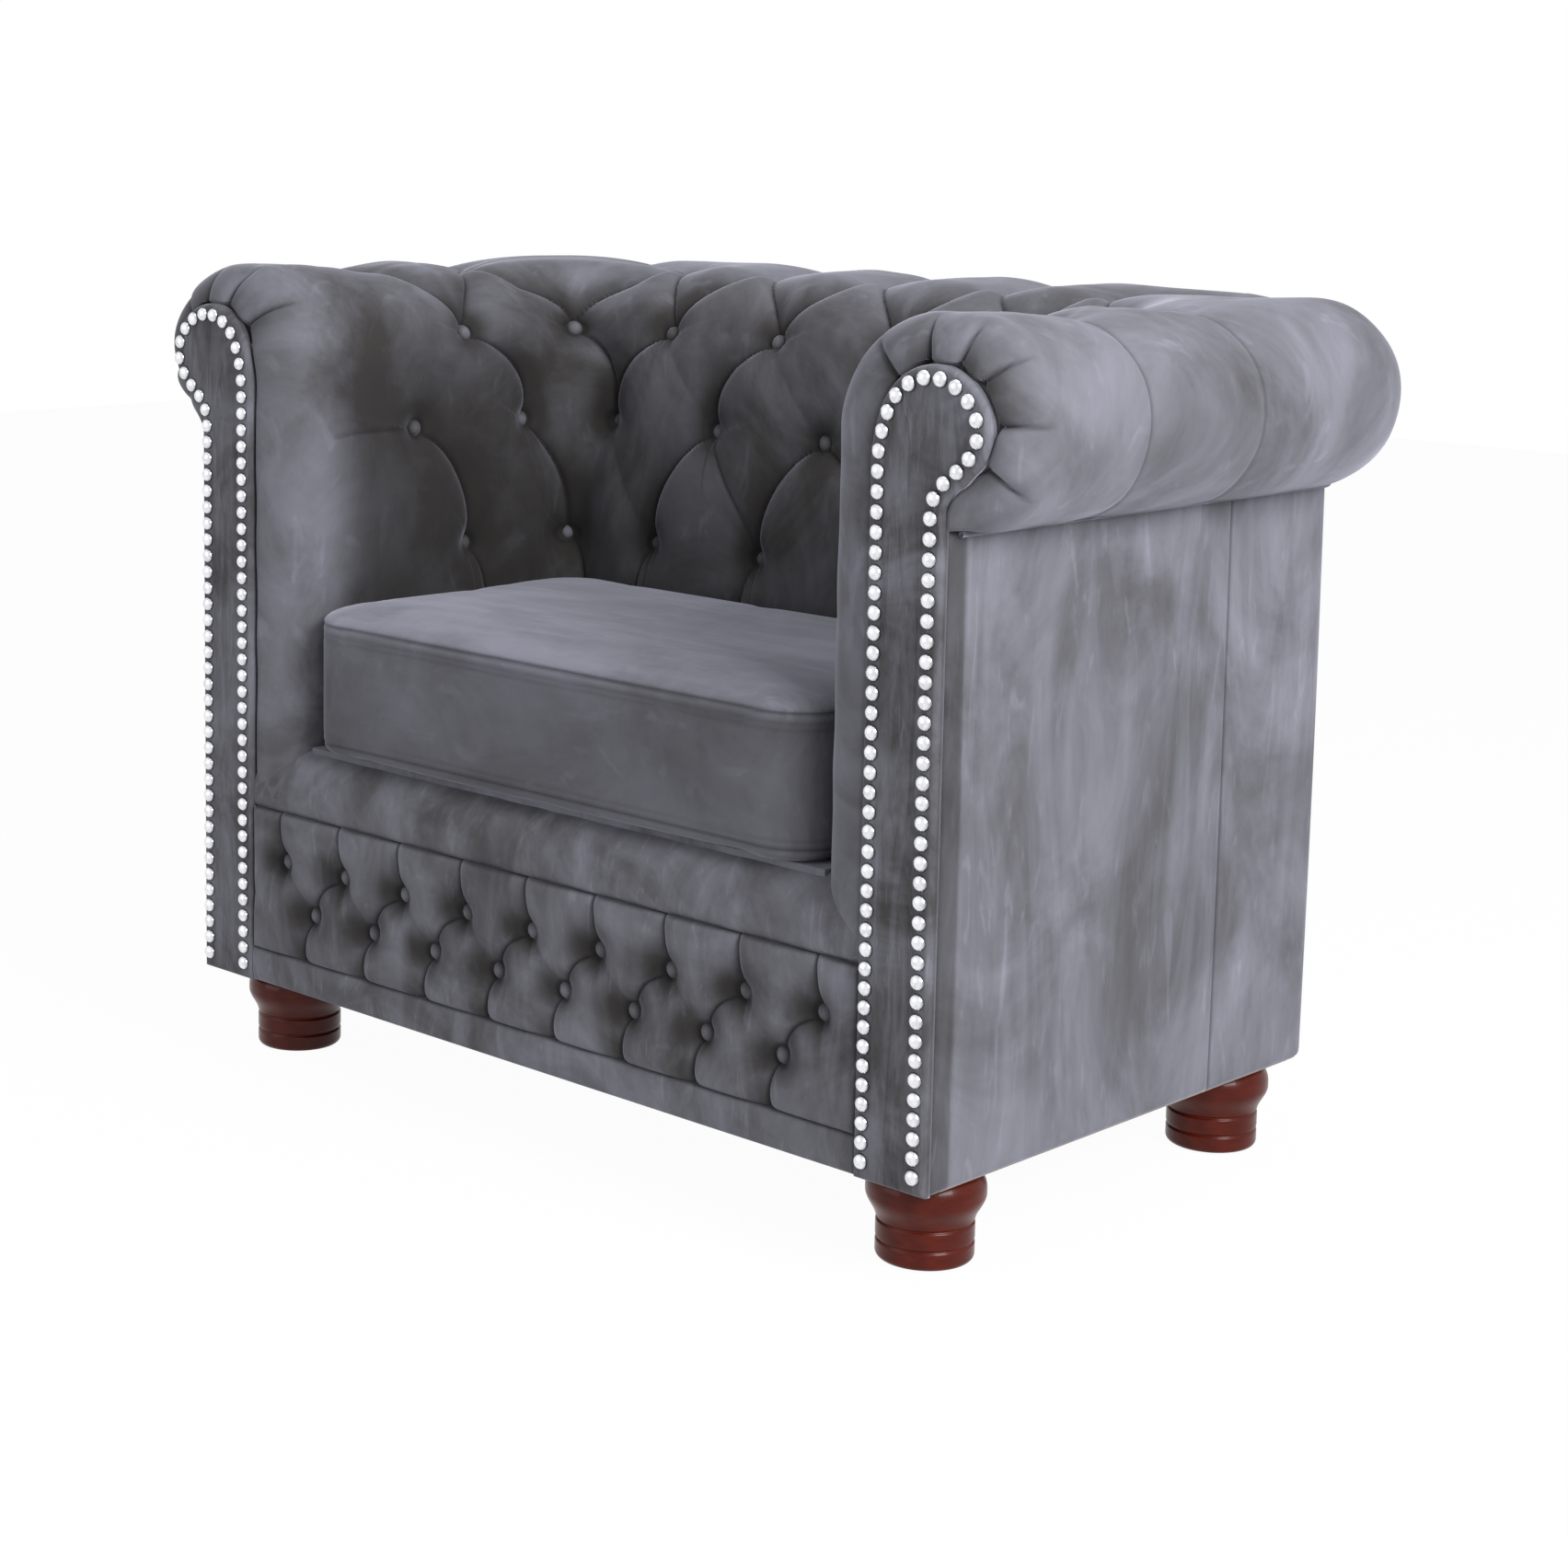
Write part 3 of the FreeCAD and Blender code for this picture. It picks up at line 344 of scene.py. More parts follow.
def domes(places: Array, normals: Array, radius: float, height: float, skirt: float,
          segments: int = 14, rings: int = 5) -> Shape:
    """Put a low dome with a short skirt at each place: rings shrink by the cosine and rise by the sine.

    Args:
        places: the middle of each dome's foot.
        normals: the way that each dome faces.
        radius: a dome's radius.
        height: how far it stands out.
        skirt: how far its wall goes in behind the foot.
        segments: how many steps round.
        rings: how many steps up.

    Returns:
        One shape of all the domes.
    """
    rise = np.linspace(0.0, np.pi / 2, rings + 1)[:-1]
    wide = np.concatenate([[0.9], np.cos(rise)]) * radius
    high = np.concatenate([[-skirt], np.sin(rise) * height])
    turn = np.linspace(0.0, 2 * np.pi, segments, endpoint=False)
    unit = np.stack([np.outer(wide, np.cos(turn)), np.outer(wide, np.sin(turn)),
                     np.broadcast_to(high[:, None], (len(high), segments))], -1).reshape(-1, 3)
    unit = np.concatenate([unit, [[0.0, 0.0, height], [0.0, 0.0, -skirt]]])
    n = normals / np.linalg.norm(normals, axis=1, keepdims=True)
    helper = np.where(np.abs(n[:, 2:]) > 0.9, [[1.0, 0.0, 0.0]], [[0.0, 0.0, 1.0]])
    u = np.cross(helper, n)
    u /= np.linalg.norm(u, axis=1, keepdims=True)
    axes = np.stack([u, np.cross(n, u), n], 1)
    points = places[:, None] + np.einsum("pk,nkj->npj", unit, axes)
    count, last = len(unit), (len(high) - 1) * segments
    step, after = np.arange(segments), (np.arange(segments) + 1) % segments
    tip = np.stack([last + step, last + after, np.full(segments, count - 2)], 1)
    foot = np.stack([after, step, np.full(segments, count - 1)], 1)
    shift = (np.arange(len(places)) * count)[:, None, None]
    quads = (grid_faces(len(high), segments, wrap_columns=True)[None] + shift).reshape(-1, 4)
    tris = (np.concatenate([tip, foot])[None] + shift).reshape(-1, 3)
    # The shade value is painted shade: 1 on the skirt and foot, falling to 0 towards the top.
    low = np.concatenate([np.repeat(np.concatenate([[1.0], 1.0 - np.sin(rise)]), segments), [0.0, 1.0]])
    values = {"crease": np.zeros(len(places) * count), "shade": np.tile(low, len(places))}
    return Shape(points.reshape(-1, 3), [quads, tris], None, values).outward()


# ---------------------------------------------------------------- pleats and tufting


@dataclass(frozen=True)
class Pleat:
    """A fold line on padding, from its top down, in the surface's own two coordinates."""

    controls: tuple[tuple[float, float], ...]
    depth: tuple[float, ...] = (0.008,)
    crease: tuple[float, ...] = (0.0035,)
    gentle: int = 0
    long_reach: float = 0.030
    short_reach: float = 0.010
    crease_reach: float = 0.0020

    def mirrored(self, about: float) -> "Pleat":
        """Give the pleat on the other side of the middle, whose first coordinate is given."""
        turned = tuple((2.0 * about - a, w) for a, w in self.controls)
        return Pleat(turned, self.depth, self.crease, -self.gentle, self.long_reach, self.short_reach,
                     self.crease_reach)


@dataclass(frozen=True)
class Tuft:
    """A button's place in the surface's two coordinates, and the hollow that it draws in."""

    place: tuple[float, float]
    depth: float = 0.014
    reach: float = 0.016
    flat: float = 0.006
    rim: float = 0.0


@dataclass
class TuftField:
    """Works out how far buttons and pleats draw a padded surface in."""

    surface: Callable[[Array, Array], Array]
    pleats: list[Pleat]
    tufts: list[Tuft]
    power: float = 2.6

    def _near_line(self, pleat: Pleat, coords: Array, points: Array) -> tuple[Array, Array, Array, Array]:
        """Measure from grid points to a pleat's line.

        Each point's nearest place on each straight step of the line is worked out, and the
        nearest step is kept. The side is the sign of the flat cross product with that step.

        Args:
            pleat: the pleat.
            coords: the surface coordinates of the points.
            points: the points.

        Returns:
            The numbers of the near points, their distance, side and fraction along the line.
        """
        flat = bezier(pleat.controls)
        line = self.surface(flat[:, 0], flat[:, 1])
        reach = 3.2 * max(pleat.long_reach, pleat.short_reach)
        inside = np.all((points > line.min(0) - reach) & (points < line.max(0) + reach), axis=1)
        near = np.flatnonzero(inside)
        p = points[near]
        step = np.diff(line, axis=0)
        size = np.maximum((step**2).sum(1), 1e-14)
        t = np.clip((p @ step.T - (line[:-1] * step).sum(1)) / size, 0.0, 1.0)
        gap = ((p**2).sum(1)[:, None] + (line[:-1] ** 2).sum(1) - 2 * p @ line[:-1].T
               - 2 * t * (p @ step.T - (line[:-1] * step).sum(1)) + t**2 * size)
        best = gap.argmin(1)
        pick = np.arange(len(near))
        fold = np.diff(flat, axis=0)[best]
        apart = coords[near] - flat[:-1][best]
        side = np.sign(fold[:, 0] * apart[:, 1] - fold[:, 1] * apart[:, 0])
        fraction = (best + t[pick, best]) / (len(line) - 1)
        return near, np.sqrt(np.maximum(gap[pick, best], 0.0)), side, fraction

    def relief(self, coords: Array, points: Array) -> tuple[Array, Array, Array]:
        """Add up how deep every pleat and button draws each point in.

        A pleat's depth falls as the exponential of the distance over its reach, which is long on
        its gentle side and short on the other, and its crease is a narrow one on top. All are
        joined as the root of the sum of their powers, so that crossings don't pile up.

        Args:
            coords: the surface coordinates of the points.
            points: the points.

        Returns:
            The depth, the painted shade of creases and button rims from 0 to 1, and the painted shade of the hollows
            from 0 to 1.
        """
        total = np.zeros(len(points))
        crease = np.zeros(len(points))
        shade = np.zeros(len(points))
        for pleat in self.pleats:
            near, gap, side, along = self._near_line(pleat, coords, points)
            at = np.linspace(0.0, 1.0, len(pleat.depth)) if len(pleat.depth) > 1 else np.array([0.0])
            depth = np.interp(along, at, pleat.depth)
            at = np.linspace(0.0, 1.0, len(pleat.crease)) if len(pleat.crease) > 1 else np.array([0.0])
            sharp = np.interp(along, at, pleat.crease)
            reach = np.where(side * pleat.gentle >= 0 if pleat.gentle else np.ones(len(near), bool),
                             pleat.long_reach, pleat.short_reach)
            broad = depth * np.exp(-((gap / reach) ** 1.25))
            narrow = sharp * np.exp(-gap / pleat.crease_reach)
            total[near] += (broad + narrow) ** self.power
            # Painted shade along each pleat's fold line.
            line = np.exp(-((gap / 0.0016) ** 2)) * np.minimum(sharp / 0.003, 1.0)
            crease[near] = np.maximum(crease[near], line)
            # Painted shade on the gentle side of a pleat, growing along it.
            if pleat.gentle:
                pleat_side_shade = np.exp(-((gap / 0.020) ** 2)) * (side * pleat.gentle > 0) * along**1.5
                shade[near] = np.maximum(shade[near], pleat_side_shade * np.minimum(depth / 0.008, 1.0))
        for tuft in self.tufts:
            middle = self.surface(np.array([tuft.place[0]]), np.array([tuft.place[1]]))[0]
            gap = np.linalg.norm(points - middle, axis=1)
            hollow = tuft.depth * np.exp(-((np.maximum(gap - tuft.flat, 0.0) / tuft.reach) ** 1.3))
            total += hollow**self.power
            # Painted shade in each button's hollow.
            shade = np.maximum(shade, 0.8 * np.exp(-((gap / (1.3 * tuft.reach)) ** 2)))
            # Painted shade in a ring round each button's rim.
            if tuft.rim:
                crease = np.maximum(crease, 0.95 * np.exp(-(((gap - tuft.rim) / 0.0022) ** 2)))
        return total ** (1.0 / self.power), crease, shade


# ---------------------------------------------------------------- node graphs and finishes


@dataclass
class Graph:
    """Adds nodes to a tree, each with its values and what feeds it."""

    tree: bpy.types.NodeTree

    def add(self, kind: str, feeds: dict[str | int, object] | None = None, **settings: object) -> bpy.types.Node:
        """Add one node.

        Args:
            kind: the node's type.
            feeds: by input, a socket to link from or a value to set.
            settings: the node's own properties.

        Returns:
            The node.
        """
        node = self.tree.nodes.new(kind)
        for key, value in settings.items():
            setattr(node, key, value)
        return self.feed(node, feeds or {})

    def feed(self, node: bpy.types.Node, feeds: dict[str | int, object]) -> bpy.types.Node:
        """Link or set a node's inputs.

        Args:
            node: the node.
            feeds: by input, a socket to link from, a colour of three numbers or a value to set.

        Returns:
            The node.
        """
        for key, value in feeds.items():
            socket = node.inputs[key]
            if isinstance(value, bpy.types.NodeSocket):
                self.tree.links.new(value, socket)
            else:
                socket.default_value = (*value, 1.0) if socket.type == "RGBA" and len(value) == 3 else value
        return node

    def math(self, operation: str, a: object, b: object = 0.0, clamp: bool = False) -> bpy.types.NodeSocket:
        """Add a Math node and give its value."""
        return self.add("ShaderNodeMath", {0: a, 1: b}, operation=operation, use_clamp=clamp).outputs[0]

    def mix(self, factor: object, a: object, b: object) -> bpy.types.NodeSocket:
        """Add a colour Mix node and give its colour."""
        return self.add("ShaderNodeMix", {0: factor, 6: a, 7: b}, data_type="RGBA").outputs[2]

    def ramp(self, value: object, low: float, high: float) -> bpy.types.NodeSocket:
        """Add a Map Range node that eases a value to 0 at low and 1 at high."""
        return self.add("ShaderNodeMapRange", {0: value, 1: low, 2: high},
                        interpolation_type="SMOOTHSTEP").outputs[0]

    def noise(self, vector: object, scale: float, detail: float = 4.0, distortion: float = 0.0,
              rough: float = 0.5) -> bpy.types.NodeSocket:
        """Add a Noise Texture and give its value."""
        feeds = {"Vector": vector, "Scale": scale, "Detail": detail, "Distortion": distortion, "Roughness": rough}
        return self.add("ShaderNodeTexNoise", feeds).outputs[0]

    def stretched(self, vector: object, scale: Sequence[float]) -> bpy.types.NodeSocket:
        """Add a Mapping node that scales a pattern's coordinates."""
        return self.add("ShaderNodeMapping", {"Vector": vector, "Scale": scale}).outputs[0]

    def bump(self, height: bpy.types.NodeSocket, strength: float, distance: float = 0.0006) -> bpy.types.NodeSocket:
        """Add a Bump node and give its normal."""
        return self.add("ShaderNodeBump", {"Height": height, "Strength": strength, "Distance": distance}).outputs[0]


def effect(name: str, inputs: Sequence[tuple[str, str, object]], outputs: Sequence[tuple[str, str]]
           ) -> tuple[Graph, bpy.types.bpy_prop_collection, bpy.types.Node]:
    """Start a shader node group with its sockets.

    Args:
        name: the group's name.
        inputs: each input's name, kind and first value.
        outputs: each output's name and kind.

    Returns:
        The group's graph, its input sockets and its output node.
    """
    tree = bpy.data.node_groups.new(name, "ShaderNodeTree")
    for label, kind, value in inputs:
        socket = tree.interface.new_socket(label, in_out="INPUT", socket_type="NodeSocket" + kind)
        if value is not None:
            socket.default_value = value
    for label, kind in outputs:
        tree.interface.new_socket(label, in_out="OUTPUT", socket_type="NodeSocket" + kind)
    graph = Graph(tree)
    return graph, graph.add("NodeGroupInput").outputs, graph.add("NodeGroupOutput")


def nap_effect() -> bpy.types.NodeTree:
    """Make the velvet's nap: cloudy brushed patches, wispy streaks and a fine pile, raised or lowered by painted light,
    with painted shade in creases, hollows and shaded parts.
    """
    graph, given, out = effect(
        "velvet_nap",
        [("Vector", "Vector", None), ("Deep", "Color", None), ("Pale", "Color", None), ("Patch Scale", "Float", 6.0),
         ("Streaks", "Vector", None), ("Crease", "Float", 0.0), ("Shade", "Float", 0.0), ("Lift", "Float", 0.0)],
        [("Color", "Color"), ("Roughness", "Float"), ("Height", "Float")])
    vector = given["Vector"]
    patches = graph.add("ShaderNodeTexNoise", {"Vector": vector, "Scale": given["Patch Scale"], "Detail": 5.0,
                                               "Roughness": 0.62, "Distortion": 0.9}).outputs[0]
    stretched = graph.add("ShaderNodeVectorMath", {0: vector, 1: given["Streaks"]}, operation="MULTIPLY").outputs[0]
    streaks = graph.noise(stretched, 1.0, 6.0, 1.4, 0.6)
    wisps = graph.noise(stretched, 2.7, 3.0, 2.2, 0.5)
    tone = graph.math("MULTIPLY", graph.ramp(patches, 0.28, 0.74), 0.46)
    tone = graph.math("ADD", tone, graph.math("MULTIPLY", graph.ramp(streaks, 0.34, 0.70), 0.26))
    tone = graph.math("ADD", tone, graph.math("MULTIPLY", graph.ramp(wisps, 0.58, 0.72), 0.16))
    # Painted light: the lift input raises the whole tone where positive, and lowers it as painted shade where negative.
    tone = graph.math("ADD", tone, graph.math("ADD", given["Lift"], 0.08))
    # Painted shade: the shade value lowers the tone.
    tone = graph.math("SUBTRACT", tone, graph.math("MULTIPLY", given["Shade"], 0.35), True)
    nap_and_shade_colour = graph.mix(tone, given["Deep"], given["Pale"])
    # Painted shade: the shade value mixes the colour towards the shade colour.
    nap_and_shade_colour = graph.mix(graph.math("MULTIPLY", given["Shade"], 0.88), nap_and_shade_colour, PAINTED_SHADE)
    # Painted shade in creases and button rims, and dark seam lines, from the crease value.
    dark = graph.math("MULTIPLY", given["Crease"], 0.85)
    colour = graph.mix(dark, nap_and_shade_colour, CREASE_SHADE_AND_SEAM)
    pile = graph.noise(vector, 1500.0, 2.0)
    brushed = graph.noise(graph.stretched(vector, (260, 260, 40)), 1.0, 3.0)
    height = graph.math("ADD", graph.math("MULTIPLY", pile, 0.35), graph.math("MULTIPLY", brushed, 0.65))
    rough = graph.math("ADD", graph.math("MULTIPLY", patches, 0.16), 0.76)
    graph.feed(out, {"Color": colour, "Roughness": rough, "Height": height})
    return graph.tree


def grain_effect() -> bpy.types.NodeTree:
    """Make wood grain: bands along the piece, bent by noise, with fine pores."""
    graph, given, out = effect(
        "wood_grain", [("Vector", "Vector", None), ("Dark", "Color", None), ("Light", "Color", None),
                       ("Stretch", "Vector", None)], [("Color", "Color"), ("Height", "Float")])
    along = graph.add("ShaderNodeVectorMath", {0: given["Vector"], 1: given["Stretch"]}, operation="MULTIPLY")
    bend = graph.noise(along.outputs[0], 1.0, 3.0, 0.6)
    bands = graph.add("ShaderNodeTexWave", {"Vector": along.outputs[0], "Scale": 1.6, "Distortion": 5.0,
                                            "Detail": 3.0, "Detail Scale": 1.4}).outputs[1]
    pores = graph.noise(along.outputs[0], 14.0, 4.0)
    tone = graph.math("ADD", graph.math("MULTIPLY", bands, 0.5), graph.math("MULTIPLY", bend, 0.35))
    tone = graph.math("ADD", tone, graph.math("MULTIPLY", graph.ramp(pores, 0.35, 0.6), 0.15), True)
    graph.feed(out, {"Color": graph.mix(tone, given["Dark"], given["Light"]), "Height": pores})
    return graph.tree


def weave_effect() -> bpy.types.NodeTree:
    """Make a plain weave: two crossed sets of threads, the higher one on top, thickened by noise."""
    graph, given, out = effect(
        "thread_weave", [("Vector", "Vector", None), ("Threads", "Vector", None), ("Dark", "Color", None),
                         ("Light", "Color", None)], [("Color", "Color"), ("Height", "Float")])
    scaled = graph.add("ShaderNodeVectorMath", {0: given["Vector"], 1: given["Threads"]}, operation="MULTIPLY")
    parts = graph.add("ShaderNodeSeparateXYZ", {0: scaled.outputs[0]})
    waves = [graph.math("ABSOLUTE", graph.math("SINE", parts.outputs[i])) for i in range(3)]
    height = graph.math("MAXIMUM", graph.math("MULTIPLY", waves[0], waves[1]), waves[2])
    fuzz = graph.noise(scaled.outputs[0], 0.7, 3.0)
    tone = graph.math("ADD", graph.math("MULTIPLY", height, 0.6), graph.math("MULTIPLY", fuzz, 0.4), True)
    graph.feed(out, {"Color": graph.mix(tone, given["Dark"], given["Light"]), "Height": height})
    return graph.tree


EFFECTS: dict[str, bpy.types.NodeTree] = {}


def shared(maker: Callable[[], bpy.types.NodeTree]) -> bpy.types.NodeTree:
    """Give an effect's group, built the first time that it is asked for."""
    if maker.__name__ not in EFFECTS:
        EFFECTS[maker.__name__] = maker()
    return EFFECTS[maker.__name__]


def new_material(name: str) -> tuple[bpy.types.Material, Graph, bpy.types.Node]:
    """Start a material.

    Args:
        name: its name.

    Returns:
        The material, its graph and its Principled BSDF node.
    """
    material = bpy.data.materials.new(name)
    material.use_nodes = True
    return material, Graph(material.node_tree), material.node_tree.nodes["Principled BSDF"]


@dataclass(frozen=True)
class Velvet:
    """Short-pile velvet, matte, with a cool sheen and brushed patches."""

    name: str
    deep: Colour = (0.046, 0.043, 0.042)
    pale: Colour = (0.238, 0.242, 0.292)
    patch_scale: float = 6.5
    streaks: tuple[float, float, float] = (6.0, 6.0, 26.0)
    # Painted light above 0 and painted shade below 0, raising or lowering this copy's whole tone.
    lift: float = 0.0
    sheen: float = 0.55
    sheen_roughness: float = 0.36
    sheen_tint: Colour = (0.62, 0.62, 0.74)
    bump: float = 0.22

    def material(self) -> bpy.types.Material:
        """Build the material."""
        material, graph, shader = new_material(self.name)
        place = graph.add("ShaderNodeTexCoord").outputs["Object"]
        # The crease and shade values are painted shade mixed into the colour; crease also marks dark seam lines.
        crease = graph.add("ShaderNodeAttribute", attribute_name="crease").outputs["Fac"]
        shade = graph.add("ShaderNodeAttribute", attribute_name="shade").outputs["Fac"]
        nap = graph.add("ShaderNodeGroup", {
            "Deep": self.deep, "Pale": self.pale, "Patch Scale": self.patch_scale, "Streaks": self.streaks,
            "Lift": self.lift, "Vector": place, "Crease": crease, "Shade": shade}, node_tree=shared(nap_effect))
        graph.feed(shader, {
            "Base Color": nap.outputs["Color"], "Roughness": nap.outputs["Roughness"],
            "Normal": graph.bump(nap.outputs["Height"], self.bump), "Sheen Weight": self.sheen,
            "Sheen Roughness": self.sheen_roughness, "Sheen Tint": self.sheen_tint, "Specular IOR Level": 0.15})
        return material


@dataclass(frozen=True)
class Wood:
    """Wood, from planed and bare to stained and lacquered."""

    name: str
    dark: Colour
    light: Colour
    stretch: tuple[float, float, float] = (30.0, 30.0, 30.0)
    roughness: float = 0.6
    coat: float = 0.0
    bump: float = 0.2
    shine: float = 0.5

    def material(self) -> bpy.types.Material:
        """Build the material."""
        material, graph, shader = new_material(self.name)
        place = graph.add("ShaderNodeTexCoord").outputs["Object"]
        grain = graph.add("ShaderNodeGroup", {"Vector": place, "Dark": self.dark, "Light": self.light,
                                              "Stretch": self.stretch}, node_tree=shared(grain_effect))
        smear = graph.noise(place, 40.0, 3.0)
        graph.feed(shader, {
            "Base Color": grain.outputs["Color"],
            "Roughness": graph.math("ADD", graph.math("MULTIPLY", smear, 0.12), self.roughness - 0.06),
            "Normal": graph.bump(grain.outputs["Height"], self.bump, 0.0005), "Specular IOR Level": self.shine,
            "Coat Weight": self.coat, "Coat Roughness": 0.06})
        return material


@dataclass(frozen=True)
class Metal:
    """Plated or oiled metal with faint rub marks, and painted shade where the shade value marks a rim."""

    name: str
    pale: Colour
    dull: Colour
    roughness: float = 0.2

    def material(self) -> bpy.types.Material:
        """Build the material."""
        material, graph, shader = new_material(self.name)
        place = graph.add("ShaderNodeTexCoord").outputs["Object"]
        marks = graph.noise(place, 180.0, 5.0, 0.5)
        colour = graph.mix(graph.ramp(marks, 0.35, 0.75), self.pale, self.dull)
        # Painted shade: each dome's rim is darkened towards a dim copy of the dull colour.
        rim = graph.add("ShaderNodeAttribute", attribute_name="shade").outputs["Fac"]
        colour = graph.mix(graph.ramp(rim, 0.25, 0.95), colour, tuple(0.42 * v for v in self.dull))
        rough = graph.math("ADD", graph.math("MULTIPLY", marks, 0.14), self.roughness - 0.07)
        graph.feed(shader, {"Base Color": colour, "Roughness": rough, "Metallic": 1.0})
        return material


@dataclass(frozen=True)
class Woven:
    """Coarse woven cloth or webbing."""

    name: str
    dark: Colour
    light: Colour
    threads: tuple[float, float, float] = (1600.0, 1600.0, 1600.0)

    def material(self) -> bpy.types.Material:
        """Build the material."""
        material, graph, shader = new_material(self.name)
        place = graph.add("ShaderNodeTexCoord").outputs["Object"]
        weave = graph.add("ShaderNodeGroup", {"Vector": place, "Threads": self.threads, "Dark": self.dark,
                                              "Light": self.light}, node_tree=shared(weave_effect))
        graph.feed(shader, {"Base Color": weave.outputs["Color"], "Roughness": 0.9,
                            "Normal": graph.bump(weave.outputs["Height"], 0.4)})
        return material


@dataclass(frozen=True)
class Soft:
    """Foam, felt, lining or moulded plastic: a mottled colour with a fine bump."""

    name: str
    dark: Colour
    light: Colour
    scale: float = 300.0
    roughness: float = 0.9

    def material(self) -> bpy.types.Material:
        """Build the material."""
        material, graph, shader = new_material(self.name)
        place = graph.add("ShaderNodeTexCoord").outputs["Object"]
        cells = graph.noise(place, self.scale, 3.0)
        colour = graph.mix(graph.ramp(cells, 0.35, 0.65), self.dark, self.light)
        graph.feed(shader, {"Base Color": colour, "Roughness": self.roughness, "Normal": graph.bump(cells, 0.3)})
        return material


@dataclass
class Finishes:
    """Every finish of the chair, built once."""

    def __post_init__(self) -> None:
        """Build the materials."""
        # The velvets are copies of one cloth. Their lift values are painted light on the outer panels and the seat
        # cushion, and painted shade on the front pieces and facings.
        self.tufted = Velvet("velvet_tufted", patch_scale=7.0, streaks=(7.0, 7.0, 3.5)).material()
        self.flat = Velvet("velvet_flat", patch_scale=5.0, streaks=(14.0, 14.0, 3.0), lift=0.05).material()
        self.front = Velvet("velvet_front", patch_scale=8.0, streaks=(16.0, 10.0, 5.0), lift=-0.02).material()
        self.seat = Velvet("velvet_seat", patch_scale=4.0, streaks=(4.0, 22.0, 7.0), lift=0.36).material()
        self.facing = Velvet("velvet_facing", patch_scale=10.0, streaks=(60.0, 10.0, 8.0), lift=-0.14,
                             bump=0.45).material()
        self.nails = Metal("nail_nickel", (0.86, 0.87, 0.90), (0.68, 0.68, 0.72), 0.24).material()
        self.feet = Wood("foot_lacquer", (0.052, 0.0042, 0.0012), (0.090, 0.0085, 0.0022), (9.0, 9.0, 60.0), 0.30,
                         0.12, 0.03, 0.14).material()
        timber = Wood("frame_timber", (0.42, 0.27, 0.13), (0.66, 0.47, 0.27), (9.0, 9.0, 9.0), 0.65).material()
        self.by_slot = {
            "frame_timber": timber,
            "foot_timber": self.feet,
            "nail_steel": self.nails,
            "spring_steel": Metal("spring_wire", (0.30, 0.29, 0.28), (0.17, 0.16, 0.15), 0.38).material(),
            "fastener_steel": Metal("zinc_plate", (0.66, 0.66, 0.64), (0.48, 0.48, 0.47), 0.34).material(),
            "clip_plastic": Soft("clip_plastic", (0.02, 0.02, 0.02), (0.035, 0.035, 0.035), 220.0, 0.45).material(),
            "webbing": Woven("webbing", (0.22, 0.15, 0.08), (0.50, 0.38, 0.22)).material(),
            "hessian": Woven("hessian", (0.26, 0.18, 0.10), (0.56, 0.44, 0.28), (1100.0, 1100.0, 1100.0)).material(),
            "foam": Soft("foam", (0.62, 0.55, 0.38), (0.78, 0.72, 0.54), 420.0).material(),
            "lining": Soft("lining", (0.012, 0.012, 0.013), (0.030, 0.030, 0.032), 700.0).material(),
            "felt": Soft("felt", (0.10, 0.09, 0.08), (0.20, 0.18, 0.16), 900.0).material(),
            "velvet": self.flat,
        }

    def dress_nodes(self, nodes: dict[str, bpy.types.Object]) -> None:
        """Give each frame node that still shows its finish.

        Args:
            nodes: the frame's nodes by name.
        """
        slots = slots_by_node(frame["record"])
        for name, node in nodes.items():
            if node.hide_render:
                continue
            finish = self.by_slot[slots[name]]
            node.data.materials.clear()
            node.data.materials.append(finish)
            log.info("%s keeps its shape, with %s", name, finish.name)


def slots_by_node(record: dict) -> dict[str, str]:
    """Read the material slot's name by the node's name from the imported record."""
    return {part["node"]: part["material_slot"] for part in record["subparts"]}


def place_piece(piece: bpy.types.Object, body: Body, replaced: Sequence[str] = ()) -> bpy.types.Object:
    """Tell the frame what a finished piece is.

    Args:
        piece: the object.
        body: what it rides on.
        replaced: the frame nodes that it stands for.

    Returns:
        The object.
    """
    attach(piece, body.value)
    if replaced:
        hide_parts(*replaced)
    log.info("%s: %d faces, on %s", piece.name, len(piece.data.polygons), body.value)
    return piece


# ---------------------------------------------------------------- the tufted shell


